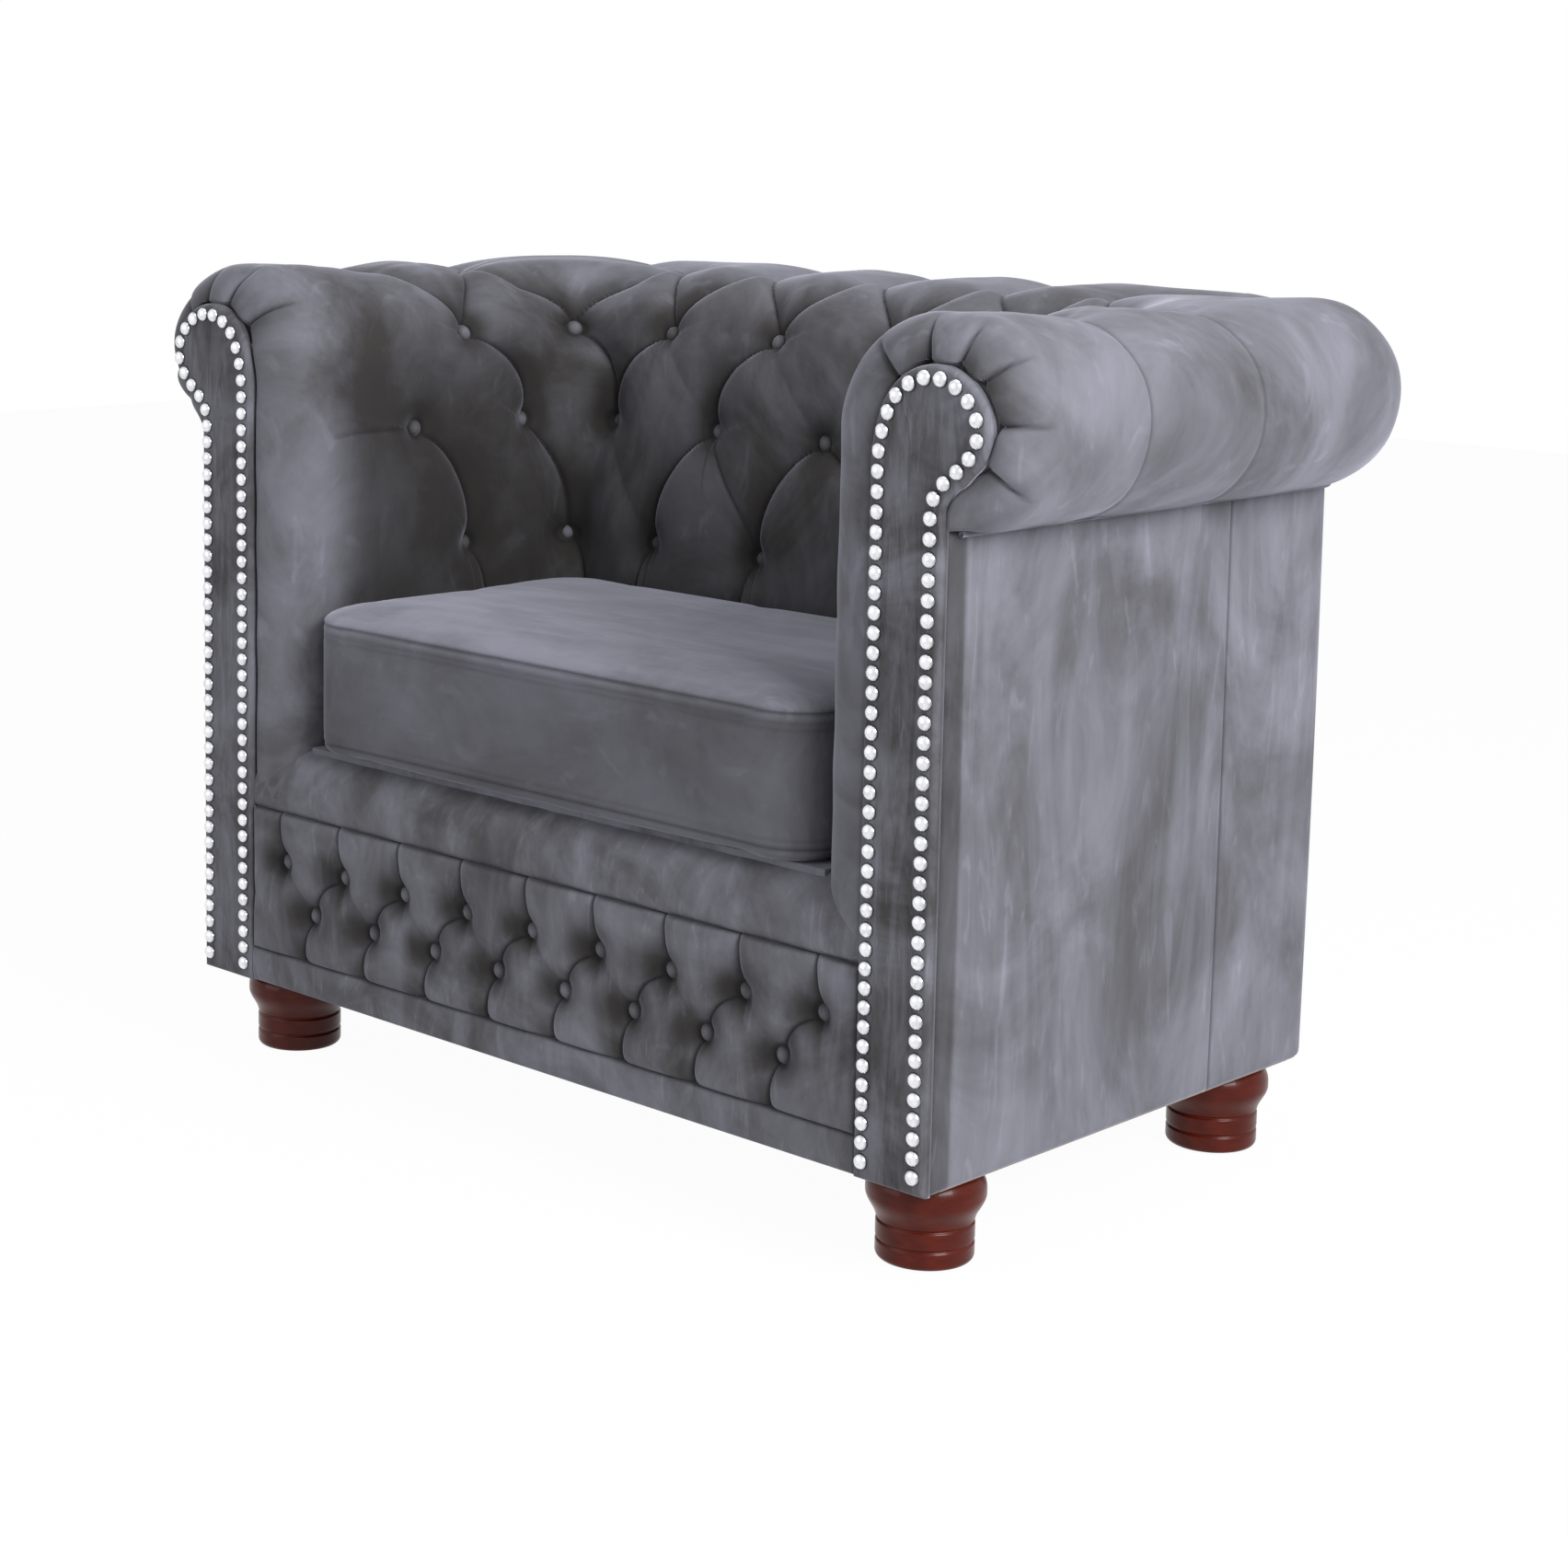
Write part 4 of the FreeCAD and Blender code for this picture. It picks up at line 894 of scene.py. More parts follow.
@dataclass
class RollPlan:
    """The plan and section of the padded arms and back, one surface from arm front to arm front.

    The first coordinate, a, runs along the foot of the inner wall from the right arm's front to
    the left arm's, and the second, w, up the wall, over the roll and round to its underside.
    """

    arm_face: float = 0.320
    back_face: float = SEAT_BACK
    corner: float = 0.030
    front: float = FRONT + 0.005
    roll_x: float = 0.443
    roll_y: float = REAR - 0.007
    bend: float = 0.060
    wall_foot: float = 0.2708
    front_foot: float = 0.2515
    wall_top: float = 0.668
    inner_radius: float = 0.092
    outer_radius: float = 0.082
    outer_height: float = 0.678
    crest: float = 0.760
    underside: float = 0.600
    lean: float = 0.015
    lean_foot: float = 0.480
    crest_span: float = 0.090
    cap_start: float = 0.045
    cap_depth: float = 0.043
    cap_span: float = 0.075
    fan_start: float = 0.235
    fan_end_x: float = 0.120
    panel_line: float = 0.0095

    def __post_init__(self) -> None:
        """Work out the lengths that the coordinates depend on."""
        self.straight = self.back_face - self.corner - self.front
        self.turn = self.corner * math.pi / 2
        self.middle = self.straight + self.turn + self.arm_face - self.corner
        self.outer_straight = self.roll_y - self.bend - self.front
        self.outer_turn = self.bend * math.pi / 2
        self.fan_end = self.along_back(self.fan_end_x)
        outer_end = self.outer_straight + self.outer_turn + self.roll_x - self.bend - self.fan_end_x
        self.fan_extra = outer_end - self.fan_end
        self.w_arc = self.wall_top - 0.27
        self.w_crest = self.w_arc + self.inner_radius * math.pi / 2
        self.w_roll = self.w_crest + self.crest_span
        self.under_angle = math.asin((self.underside - self.outer_height) / self.outer_radius)
        self.w_under = self.w_roll + self.outer_radius * (math.pi / 2 - self.under_angle)
        self.w_end = self.w_under + 0.016
        rows = np.linspace(0.0, self.w_end, 500)
        section = self.body_point(np.full(500, self.cap_start), rows)
        edge = FacingOutline().edge(-0.0015)
        edge = resample(edge[edge[:, 1] > 0.245], 900)
        gaps = np.linalg.norm(section[:, None, [0, 2]] - edge[None], axis=2)
        best = np.maximum.accumulate(gaps.argmin(1)).astype(float)
        kernel = np.hanning(41) / np.hanning(41).sum()
        best = np.convolve(np.pad(best, 20, mode="edge"), kernel, "valid")
        self.cap_rows = rows
        self.cap_x = np.interp(best, np.arange(900), edge[:, 0])
        self.cap_z = np.interp(best, np.arange(900), edge[:, 1])
        seen = np.unwrap(np.arctan2(section[:, 2] - 0.670, section[:, 0] - 0.436))
        self.cap_angles = np.degrees(seen) + 360.0

    def along_arm(self, y: float) -> float:
        """Give the first coordinate of a place on the arm's inner wall."""
        return y - self.front

    def along_back(self, x: float) -> float:
        """Give the first coordinate of a place on the right half of the back."""
        return self.straight + self.turn + self.arm_face - self.corner - x

    def up(self, z: float) -> float:
        """Give the second coordinate of a height on the inner side."""
        if z <= self.wall_top:
            return z - 0.27
        return self.w_arc + self.inner_radius * math.asin((z - self.wall_top) / self.inner_radius)

    def cap_row(self, angle: float) -> float:
        """Give the second coordinate that a direction from the scroll's middle meets, in degrees."""
        order = np.argsort(self.cap_angles)
        return float(np.interp(angle, self.cap_angles[order], self.cap_rows[order]))

    def _inner(self, a: Array) -> tuple[Array, Array]:
        """Follow the foot of the inner wall: straight, a quarter turn, straight.

        Args:
            a: the first coordinate, up to the middle.

        Returns:
            The plan points and the unit directions away from the seat.
        """
        run = np.clip(a, 0.0, self.straight)
        angle = np.clip((a - self.straight) / self.corner, 0.0, np.pi / 2)
        rest = np.maximum(a - self.straight - self.turn, 0.0)
        x = self.arm_face - self.corner + self.corner * np.cos(angle) - rest
        y = self.front + run + self.corner * np.sin(angle)
        return np.stack([x, y], -1), np.stack([np.cos(angle), np.sin(angle)], -1)

    def _outer(self, a: Array) -> tuple[Array, Array]:
        """Follow the roll's axis, whose stations spread round the corner by an eased extra length.

        Args:
            a: the first coordinate, up to the middle.

        Returns:
            The plan points and the unit directions away from the seat.
        """
        b = a + self.fan_extra * smooth((a - self.fan_start) / (self.fan_end - self.fan_start))
        run = np.clip(b, 0.0, self.outer_straight)
        angle = np.clip((b - self.outer_straight) / self.bend, 0.0, np.pi / 2)
        rest = np.maximum(b - self.outer_straight - self.outer_turn, 0.0)
        x = self.roll_x - self.bend + self.bend * np.cos(angle) - rest
        y = self.front + run + self.bend * np.sin(angle)
        return np.stack([x, y], -1), np.stack([np.cos(angle), np.sin(angle)], -1)

    def body_point(self, a: Array, w: Array) -> Array:
        """Give points of the plain padded surface, right half, behind the rounded front.

        The wall stands up and leans a little on the back. The inner arc leaves it by one less the
        cosine and rises by the sine. A curve with both ends' directions crosses the crest, and the
        outer arc turns about the roll's axis to the underside, which runs in level.

        Args:
            a: the first coordinate.
            w: the second coordinate.

        Returns:
            The points.
        """
        foot, inward = self._inner(a)
        axis, outward = self._outer(a)
        low = self.front_foot + (self.wall_foot - self.front_foot) * smooth((a - 0.050) / 0.030)
        share = np.clip(w / self.w_arc, 0.0, 1.0)
        wall_z = low + share * (self.wall_top - low)
        lean = self.lean * smooth((wall_z - self.lean_foot) / (self.wall_top - self.lean_foot)) * inward[..., 1]
        foot = foot + np.stack([np.zeros_like(lean), lean], -1)
        phi = np.clip((w - self.w_arc) / self.inner_radius, 0.0, np.pi / 2)[..., None]
        start = foot + inward * self.inner_radius * (1.0 - np.cos(phi))
        full = foot + inward * self.inner_radius
        t = np.clip((w - self.w_crest) / self.crest_span, 0.0, 1.0)[..., None]
        span = np.linalg.norm(axis - full, axis=-1, keepdims=True)
        crest = ((2 * t**3 - 3 * t**2 + 1) * full + (t**3 - 2 * t**2 + t) * inward * span
                 + (-2 * t**3 + 3 * t**2) * axis + (t**3 - t**2) * outward * span)
        psi = np.clip(np.pi / 2 - (w - self.w_roll) / self.outer_radius, self.under_angle, np.pi / 2)[..., None]
        rolled = axis + outward * self.outer_radius * np.cos(psi)
        under = np.clip((w - self.w_under) / (self.w_end - self.w_under), 0.0, 1.0)[..., None]
        last = math.cos(self.under_angle) * self.outer_radius
        tucked = axis + outward * (last + (self.panel_line - last) * under)
        w3 = w[..., None]
        plan = np.where(w3 < self.w_crest, start, np.where(w3 < self.w_roll, crest,
                                                          np.where(w3 < self.w_under, rolled, tucked)))
        height = np.where(w < self.w_arc, wall_z, self.wall_top + self.inner_radius * np.sin(phi[..., 0]))
        height = np.where(w < self.w_crest, height, self.crest)
        height = np.where(w < self.w_roll, height, self.outer_height + self.outer_radius * np.sin(psi[..., 0]))
        height = np.where(w < self.w_under, height, self.underside)
        return np.concatenate([plan, height[..., None]], -1)

    def surface(self, a: Array, w: Array) -> Array:
        """Give points of the plain padded surface on both halves, with the rounded arm fronts.

        In front of the cap's start the section closes in on the facing's outline by one less the
        cosine, while its depth runs forward by the sine, and the last of it dips into a groove.

        Args:
            a: the first coordinate.
            w: the second coordinate.

        Returns:
            The points.
        """
        left = a > self.middle
        half = np.where(left, 2.0 * self.middle - a, a)
        points = self.body_point(np.maximum(half, self.cap_start), w)
        theta = np.pi / 2 * np.clip((self.cap_start - half) / self.cap_span, 0.0, 1.0)
        close = 1.0 - np.cos(theta)
        target_x = np.interp(w, self.cap_rows, self.cap_x)
        target_z = np.interp(w, self.cap_rows, self.cap_z)
        points[..., 0] += (target_x - points[..., 0]) * close
        points[..., 2] += (target_z - points[..., 2]) * close
        points[..., 1] += -self.cap_depth * np.sin(theta) + 0.006 * smooth((close - 0.90) / 0.10)
        points[..., 0] *= np.where(left, -1.0, 1.0)
        return points

    def hidden(self, a: Array) -> Array:
        """Give the hollow side's five corner points at each station, round the frame's boards.

        Args:
            a: the first coordinate of the stations.

        Returns:
            The points, as stations by 5 by 3, from the underside to the wall's foot.
        """
        left = a > self.middle
        half = np.maximum(np.where(left, 2.0 * self.middle - a, a), self.cap_start)
        foot, inward = self._inner(half)
        axis, outward = self._outer(half)
        line, board, wall = axis + outward * self.panel_line, axis + outward * 0.034, foot + inward * 0.064
        ring = [(line, 0.668), (board, 0.668), (board, 0.692), (wall, 0.692), (wall, self.wall_foot)]
        points = np.stack([np.concatenate([p, np.full((len(a), 1), z)], 1) for p, z in ring], 1)
        points[..., 0] *= np.where(left, -1.0, 1.0)[:, None]
        return points


@dataclass
class FacingOutline:
    """The keyhole line that the nails follow on an arm's front, in x and z, and its edge outside it."""

    inner_x: float = 0.388
    outer_x: float = 0.440
    foot: float = 0.090
    centre: tuple[float, float] = (0.436, 0.670)
    margin: float = 0.010

    def _at(self, x: float, z: float) -> tuple[float, float]:
        """Place a point from the scroll's middle, in millimetres."""
        return self.centre[0] + x / 1000.0, self.centre[1] + z / 1000.0

    def nail_line(self) -> Array:
        """Give the open line from the inner column's foot round the scroll to the outer column's foot."""
        neck = (self.outer_x, self.centre[1] - 0.054)
        head = (self.inner_x, self.centre[1] - 0.032)
        parts = [
            np.array([(self.inner_x, self.foot), head]),
            arc_through(head, self._at(-46, -3), self._at(-37, 23)),
            arc_through(self._at(-37, 23), self._at(8, 45), self._at(39, 27)),
            arc_through(self._at(39, 27), self._at(46, 2), self._at(34, -17)),
            arc_through(self._at(23, -28), self._at(10, -39), neck),
            np.array([neck, (self.outer_x, self.foot)]),
        ]
        joined = np.concatenate(parts)
        keep = np.concatenate([[True], np.linalg.norm(np.diff(joined, axis=0), axis=1) > 1e-5])
        return resample(joined[keep], 900)

    def edge(self, further: float = 0.0) -> Array:
        """Give the facing's own edge, outside the nails, from the inner foot round to the outer foot.

        Args:
            further: how much further out than the board's edge.

        Returns:
            The points in x and z, from the strip's bottom.
        """
        line = offset_line(self.nail_line(), self.margin + further)
        low = self.foot - self.margin - further
        return np.concatenate([[(line[0, 0], low)], line, [(line[-1, 0], low)]])


@dataclass
class TuftedShell:
    """The arms, corners and back: one padded surface, drawn in by buttons and pleats, in five pieces."""

    plan: RollPlan
    finishes: Finishes
    puff: float = 0.0015
    arm_high: float = FRONT + 0.236
    arm_mid: tuple[float, float] = (FRONT + 0.312, FRONT + 0.166)
    back_pitch: float = 0.140
    high_z: float = 0.700
    mid_z: float = 0.606
    low_z: float = 0.488
    button_radius: float = 0.0082
    button_height: float = 0.0062
    cap_depth: float = 0.010
    cuts: tuple[float, float] = (0.322, 0.430)

    def __post_init__(self) -> None:
        """Place the buttons in the surface's coordinates, right half."""
        plan = self.plan
        self.corner_a = plan.straight + plan.turn / 2
        half = self.back_pitch / 2
        self.high = [plan.along_arm(self.arm_high), self.corner_a, plan.along_back(3 * half), plan.along_back(half)]
        self.mid = [plan.along_arm(self.arm_mid[1]), plan.along_arm(self.arm_mid[0]), plan.along_back(0.280),
                    plan.along_back(self.back_pitch), plan.along_back(0.0)]
        self.low = list(self.high)
        self.rows = {"high": plan.up(self.high_z), "mid": plan.up(self.mid_z), "low": plan.up(self.low_z)}

    def pleats(self) -> list[Pleat]:
        """List the fold lines of both halves.

        The crisp ones leave the upper button sideways, towards the corner, and come down on the
        lower one from above. The soft ones close the diamonds the other way.

        Returns:
            The pleats.
        """
        h, m, low = self.rows["high"], self.rows["mid"], self.rows["low"]
        made: list[Pleat] = []

        def crisp(a0: float, w0: float, a1: float, w1: float) -> None:
            """Add a crisp S-shaped pleat from an upper button to a lower one."""
            run, sign = a1 - a0, 1 if a1 > a0 else -1
            made.append(Pleat(((a0, w0 - 0.004), (a0 + 0.45 * run, w0 - 0.012), (a1 - 0.10 * run, w0 - 0.048),
                               (a1 + 0.02 * run, w1 + 0.045), (a1, w1)),
                              (0.0110, 0.0120, 0.0130), (0.0030, 0.0046, 0.0046), sign))

        def soft(a0: float, w0: float, a1: float, w1: float) -> None:
            """Add a soft hollow between two buttons."""
            made.append(Pleat(((a0, w0), (0.55 * a0 + 0.45 * a1, 0.4 * w0 + 0.6 * w1), (a1, w1)),
                              (0.0065, 0.0045, 0.0075), (0.0,), 0, 0.020, 0.020))

        hi, mi, lo = self.high, self.mid, self.low
        for start, end in ((hi[0], mi[1]), (hi[1], mi[2]), (hi[2], mi[2]), (hi[3], mi[3])):
            crisp(start, h, end, m)
        for start, end in ((mi[0], lo[0]), (mi[1], lo[1]), (mi[3], lo[2]), (mi[4], lo[3])):
            crisp(start, m, end, low)
        made.append(Pleat(((mi[3], m), (mi[3] + 0.012, m - 0.04), (lo[3] - 0.012, low + 0.04), (lo[3], low)),
                          (0.006, 0.005, 0.006), (0.0020,), 0, 0.018, 0.018))
        for start, end in ((hi[0], mi[0]), (hi[1], mi[1]), (hi[2], mi[3]), (hi[3], mi[4])):
            soft(start, h, end, m)
        for start, end in ((mi[1], lo[0]), (mi[2], lo[1]), (mi[2], lo[2])):
            soft(start, m, end, low)
        for a, sign in ((lo[0], 1), (lo[1], 1), (lo[2], -1), (lo[3], -1)):
            made.append(Pleat(((a, low), (a + 0.016 * sign, low - 0.016), (a + 0.020 * sign, low - 0.045),
                               (a + 0.020 * sign, low - 0.10), (a + 0.020 * sign, 0.01)),
                              (0.009, 0.006, 0.004, 0.003), (0.0034,), sign, 0.024, 0.009))
        crest = self.plan.w_crest
        valleys = [hi[0] - 0.0725, (hi[0] + hi[1]) / 2, (hi[1] + hi[2]) / 2, (hi[2] + hi[3]) / 2,
                   self.plan.middle]
        for k, a in enumerate(hi):
            for valley, sign in ((valleys[k], -1), (valleys[k + 1], 1)):
                run = valley - a
                made.append(Pleat(((valley, crest + 0.025), (a + 0.95 * run, crest - 0.02), (a + 0.55 * run, h + 0.062),
                                   (a + 0.12 * run, h + 0.040), (a, h + 0.004)),
                                  (0.0125, 0.0115, 0.0115), (0.0014, 0.0034, 0.0042), -sign, 0.028, 0.012))
        end = self.plan.w_under
        for valley in valleys:
            made.append(Pleat(((valley, end), (valley, crest + 0.16), (valley, crest + 0.08), (valley, crest + 0.02)),
                              (0.0010, 0.0040, 0.0100, 0.0130), (0.0014, 0.0018, 0.0020, 0.0016), 0, 0.034, 0.034,
                              0.0014))
        made.append(Pleat(((0.050, m + 0.002), (mi[0] - 0.004, m)), (0.0004, 0.0030), (0.0012, 0.0020), 0, 0.016,
                          0.016))
        both = made + [pleat.mirrored(self.plan.middle) for pleat in made]
        return both + self.gathers()

    def gathers(self) -> list[Pleat]:
        """List the folds that gather the cover round each scroll."""
        right = ((139, 134, 1), (105, 100, 1), (75, 72, -1), (43, 47, -1), (8, 10, 1), (-33, -28, -1))
        left = ((146, 140, 1), (108, 104, 1), (76, 74, -1), (44, 47, -1), (-14, -9, 1), (-39, -32, -1))
        made: list[Pleat] = []
        for angles, mirror in ((right, False), (left, True)):
            for outer, inner, sign in angles:
                w0, w1 = self.plan.cap_row(outer), self.plan.cap_row(inner)
                pleat = Pleat(((0.034, w0), (0.015, 0.7 * w0 + 0.3 * w1), (-0.010, w1), (-0.028, w1)),
                              (0.0, 0.0030, 0.0052, 0.0055), (0.0, 0.0022, 0.0030, 0.0030), sign, 0.016, 0.006)
                made.append(pleat.mirrored(self.plan.middle) if mirror else pleat)
        return made

    def tufts(self) -> list[Tuft]:
        """List the buttons of both halves, with the back's middle one once."""
        made: list[Tuft] = []
        for row, places in (("high", self.high), ("mid", self.mid), ("low", self.low)):
            for a in places:
                for at in {a, 2 * self.plan.middle - a}:
                    if row == "mid" and abs(a - self.plan.middle) < 1e-6 and at != a:
                        continue
                    made.append(Tuft((at, self.rows[row]), rim=self.button_radius + 0.0008))
        return made

    def stations(self) -> Array:
        """Give the first coordinates of the grid's stations, close where the roll fans out."""
        plan = self.plan
        fine = np.linspace(plan.cap_start - plan.cap_span, plan.middle, 4000)
        spread = np.where((fine > plan.fan_start) & (fine < plan.fan_end), 1.45, 1.0)
        run = np.concatenate([[0.0], np.cumsum(0.5 * (spread[1:] + spread[:-1]) * np.diff(fine))])
        right = np.interp(np.linspace(0.0, run[-1], 345), run, fine)
        return np.concatenate([right, 2 * plan.middle - right[-2::-1]])

    def rows_of(self) -> Array:
        """Give the second coordinates of the grid's rows."""
        plan = self.plan
        parts = [(0.0, plan.w_arc, 150), (plan.w_arc, plan.w_crest, 58), (plan.w_crest, plan.w_roll, 36),
                 (plan.w_roll, plan.w_under, 86)]
        rows = [np.linspace(start, end, count, endpoint=False) for start, end, count in parts]
        return np.concatenate([*rows, np.linspace(plan.w_under, plan.w_end, 7)])

    def build(self) -> list[bpy.types.Object]:
        """Build and dress the five padded pieces and their buttons.

        Each piece is the surface's stations between two cuts. Its ends are walls that go in along
        the normals by the cap's depth and are closed there, so that they never reach the outside.

        Returns:
            The pieces.
        """
        plan = self.plan
        a, w = self.stations(), self.rows_of()
        grid_a, grid_w = np.meshgrid(a, w, indexing="ij")
        base = plan.surface(grid_a, grid_w)
        normal = grid_normals(base)
        if normal[len(a) // 4, 5, 0] > 0:
            normal = -normal
        tufting = TuftField(plan.surface, self.pleats(), self.tufts())
        coords = np.stack([grid_a.ravel(), grid_w.ravel()], 1)
        depth, crease, shade = tufting.relief(coords, base.reshape(-1, 3))
        fade = 1.0 - smooth((grid_w - (plan.w_under - 0.004)) / 0.012)
        ripple = 0.0007 * np.sin(61 * grid_a + 2.0 * np.sin(23 * grid_w))
        ripple = ripple * np.sin(47 * grid_w + 1.3 * np.sin(31 * grid_a))
        height = (self.puff - depth.reshape(grid_a.shape) + ripple) * fade
        shown = base + normal * height[..., None]
        ring = np.concatenate([shown, plan.hidden(a)], axis=1)
        normals = grid_normals(ring, wrap_columns=True)
        if normals[len(a) // 4, 5, 0] > 0:
            normals = -normals
        pad = np.zeros((len(a), 5))
        crease = np.concatenate([crease.reshape(grid_a.shape), pad], 1)
        shade = np.concatenate([self.tone(shade.reshape(grid_a.shape), grid_a, grid_w), pad], 1)
        splits = np.searchsorted(a, [*self.cuts, *(2 * plan.middle - cut for cut in self.cuts[::-1])])
        bounds = [0, *splits, len(a) - 1]
        names = (("tufted_arm_right", "arm_pad_right"), ("tufted_corner_right", "corner_pad_right"),
                 ("tufted_back", "back_pad"), ("tufted_corner_left", "corner_pad_left"),
                 ("tufted_arm_left", "arm_pad_left"))
        sink = smooth(w / 0.02) * (1.0 - smooth((w - plan.w_under + 0.060) / 0.040))
        sink = self.cap_depth * np.concatenate([sink, np.zeros(ring.shape[1] - len(w))])
        sunk = ring - normals * sink[None, :, None]
        around = ring.shape[1]
        here = np.arange(around)
        after = np.roll(here, -1)
        pieces = []
        for (name, node), start, end in zip(names, bounds[:-1], bounds[1:]):
            rows, grids = list(range(start, end + 1)), [ring[start:end + 1]]
            faces = [grid_faces(len(rows), around, wrap_columns=True)]
            for at, edge, turn in ((start, 0, -1), (end, (end - start) * around, 1)):
                cap = edge
                if 0 < at < len(a) - 1:
                    cap = len(rows) * around
                    rows.append(at)
                    grids.append(sunk[at:at + 1])
                    faces.append(np.stack([edge + here, edge + after, cap + after, cap + here], 1)[:, ::turn])
                faces.append((cap + here)[None, ::turn])
            shape = Shape(np.concatenate(grids).reshape(-1, 3), faces, normals[rows].reshape(-1, 3),
                          {"crease": crease[rows].ravel(), "shade": shade[rows].ravel()}).outward()
            piece = shape.build(name, self.finishes.tufted)
            pieces.append(place_piece(piece, Body.CHAIR, [node]))
        pieces += self.buttons(tufting)
        return pieces

    def tone(self, shade: Array, a: Array, w: Array) -> Array:
        """Add painted shade low inside the chair, where it lies away from the light, and more on the left arm's inner
        wall.

        Args:
            shade: the hollows' shade.
            a: the first coordinate.
            w: the second coordinate.

        Returns:
            The shade with the inside's painted shade added.
        """
        half = np.where(a > self.plan.middle, 2 * self.plan.middle - a, a)
        # Painted shade on the inner walls, low and behind the rounded fronts.
        inside = (1.0 - smooth((w - 0.30) / 0.22)) * smooth((half - 0.045) / 0.060)
        # Extra painted shade on the left arm's inner wall, low and behind its front.
        arm = 1.0 - smooth((half - 0.30) / 0.06)
        high = 0.34 * arm * (a > self.plan.middle) * smooth((half - 0.03) / 0.05) * (1.0 - smooth((w - 0.40) / 0.12))
        return np.clip(shade + 0.50 * inside + high, 0.0, 1.0)

    def buttons(self, tufting: TuftField) -> list[bpy.types.Object]:
        """Build the covered buttons, each at the bottom of its hollow.

        Args:
            tufting: the relief that the buttons sit in.

        Returns:
            The right arm's, left arm's and back's buttons.
        """
        places = np.array([tuft.place for tuft in tufting.tufts])
        base = self.plan.surface(places[:, 0], places[:, 1])
        step = 1e-3
        across = self.plan.surface(places[:, 0] + step, places[:, 1]) - self.plan.surface(places[:, 0] - step,
                                                                                         places[:, 1])
        up = self.plan.surface(places[:, 0], places[:, 1] + step) - self.plan.surface(places[:, 0],
                                                                                     places[:, 1] - step)
        normal = np.cross(up, across)
        normal /= np.linalg.norm(normal, axis=1, keepdims=True)
        depth, _, _ = tufting.relief(places, base)
        seat = base + normal * (self.puff - depth + 0.0002)[:, None]
        half = np.where(places[:, 0] > self.plan.middle, 2 * self.plan.middle - places[:, 0], places[:, 0])
        on_arm = half < self.plan.straight + self.plan.turn * 0.75
        left = places[:, 0] > self.plan.middle
        made = []
        for name, mask in (("arm_buttons_right", on_arm & ~left), ("arm_buttons_left", on_arm & left),
                           ("back_buttons", ~on_arm)):
            shape = domes(seat[mask], normal[mask], self.button_radius, self.button_height, 0.003, 20, 6)
            piece = shape.build("covered_" + name, self.finishes.front)
            made.append(place_piece(piece, Body.CHAIR, [name]))
        return made


# ---------------------------------------------------------------- arm fronts


@dataclass
class ArmFront:
    """The covered facing of one arm, with its bright nails."""

    side: Side
    finishes: Finishes
    outline: FacingOutline = field(default_factory=FacingOutline)
    front: float = FRONT
    back: float = FRONT + 0.010
    pitch: float = 0.0155
    end_margin: float = 0.006
    head_radius: float = 0.00675
    head_height: float = 0.005

    def build(self) -> list[bpy.types.Object]:
        """Build and dress the facing and its nails, and give both."""
        return [self.build_facing(), self.build_nails()]

    def build_facing(self) -> bpy.types.Object:
        """Build the facing: the outline's rings close in by one less the cosine as they come forward."""
        edge = resample(self.outline.edge(), 420)
        line = resample(self.outline.nail_line(), 420)
        bottom = np.stack([np.linspace(edge[-1, 0], edge[0, 0], 24)[1:-1], np.full(22, edge[0, 1])], 1)
        inner_bottom = np.stack([np.linspace(line[-1, 0], line[0, 0], 24)[1:-1], np.full(22, line[0, 1])], 1)
        outer = np.concatenate([edge, bottom])
        inner = np.concatenate([line, inner_bottom])
        turn = np.linspace(0.0, np.pi / 2, 7)
        close = np.concatenate([[0.0], 0.42 * (1.0 - np.cos(turn)), [1.0]])
        ahead = np.concatenate([[0.0], 0.0035 + 0.0063 * np.sin(turn), [0.0100]])
        ring_xz = outer[None] + (inner - outer)[None] * close[:, None, None]
        y = np.broadcast_to((self.back - ahead)[:, None], ring_xz.shape[:2])
        rings = np.stack([ring_xz[..., 0] * self.side.value, y, ring_xz[..., 1]], -1)
        count = rings.shape[1]
        ends = [np.arange(count)[None, :], (np.arange(count) + (len(close) - 1) * count)[None, ::-1]]
        faces = [grid_faces(len(close), count, wrap_columns=True)[:, ::-1], *ends]
        groove = np.exp(-((np.linspace(0, 1, len(close)) / 0.15) ** 2))[:, None] * np.ones((1, count))
        shape = Shape(rings.reshape(-1, 3), faces, None,
                      {"crease": 0.7 * groove.ravel(), "shade": np.zeros(rings.shape[0] * count)}).outward()
        piece = shape.build(f"covered_facing_{self.side.word}", self.finishes.facing)
        return place_piece(piece, Body.CHAIR, [f"arm_facing_{self.side.word}"])

    def build_nails(self) -> bpy.types.Object:
        """Build the nails, evenly spaced along the nail line."""
        line = self.outline.nail_line()
        total = lengths(line)[-1]
        count = int((total - 2 * self.end_margin) / self.pitch) + 1
        at = np.linspace(self.end_margin, total - self.end_margin, count)
        run = lengths(line)
        x, z = np.interp(at, run, line[:, 0]), np.interp(at, run, line[:, 1])
        places = np.stack([x * self.side.value, np.full(count, self.front), z], 1)
        facing = np.tile([0.0, -1.0, 0.0], (count, 1))
        shape = domes(places, facing, self.head_radius, self.head_height, 0.0015, 14, 4)
        piece = shape.build(f"bright_nails_{self.side.word}", self.finishes.nails)
        return place_piece(piece, Body.CHAIR, [f"facing_nails_{self.side.word}"])


# ---------------------------------------------------------------- outside and base


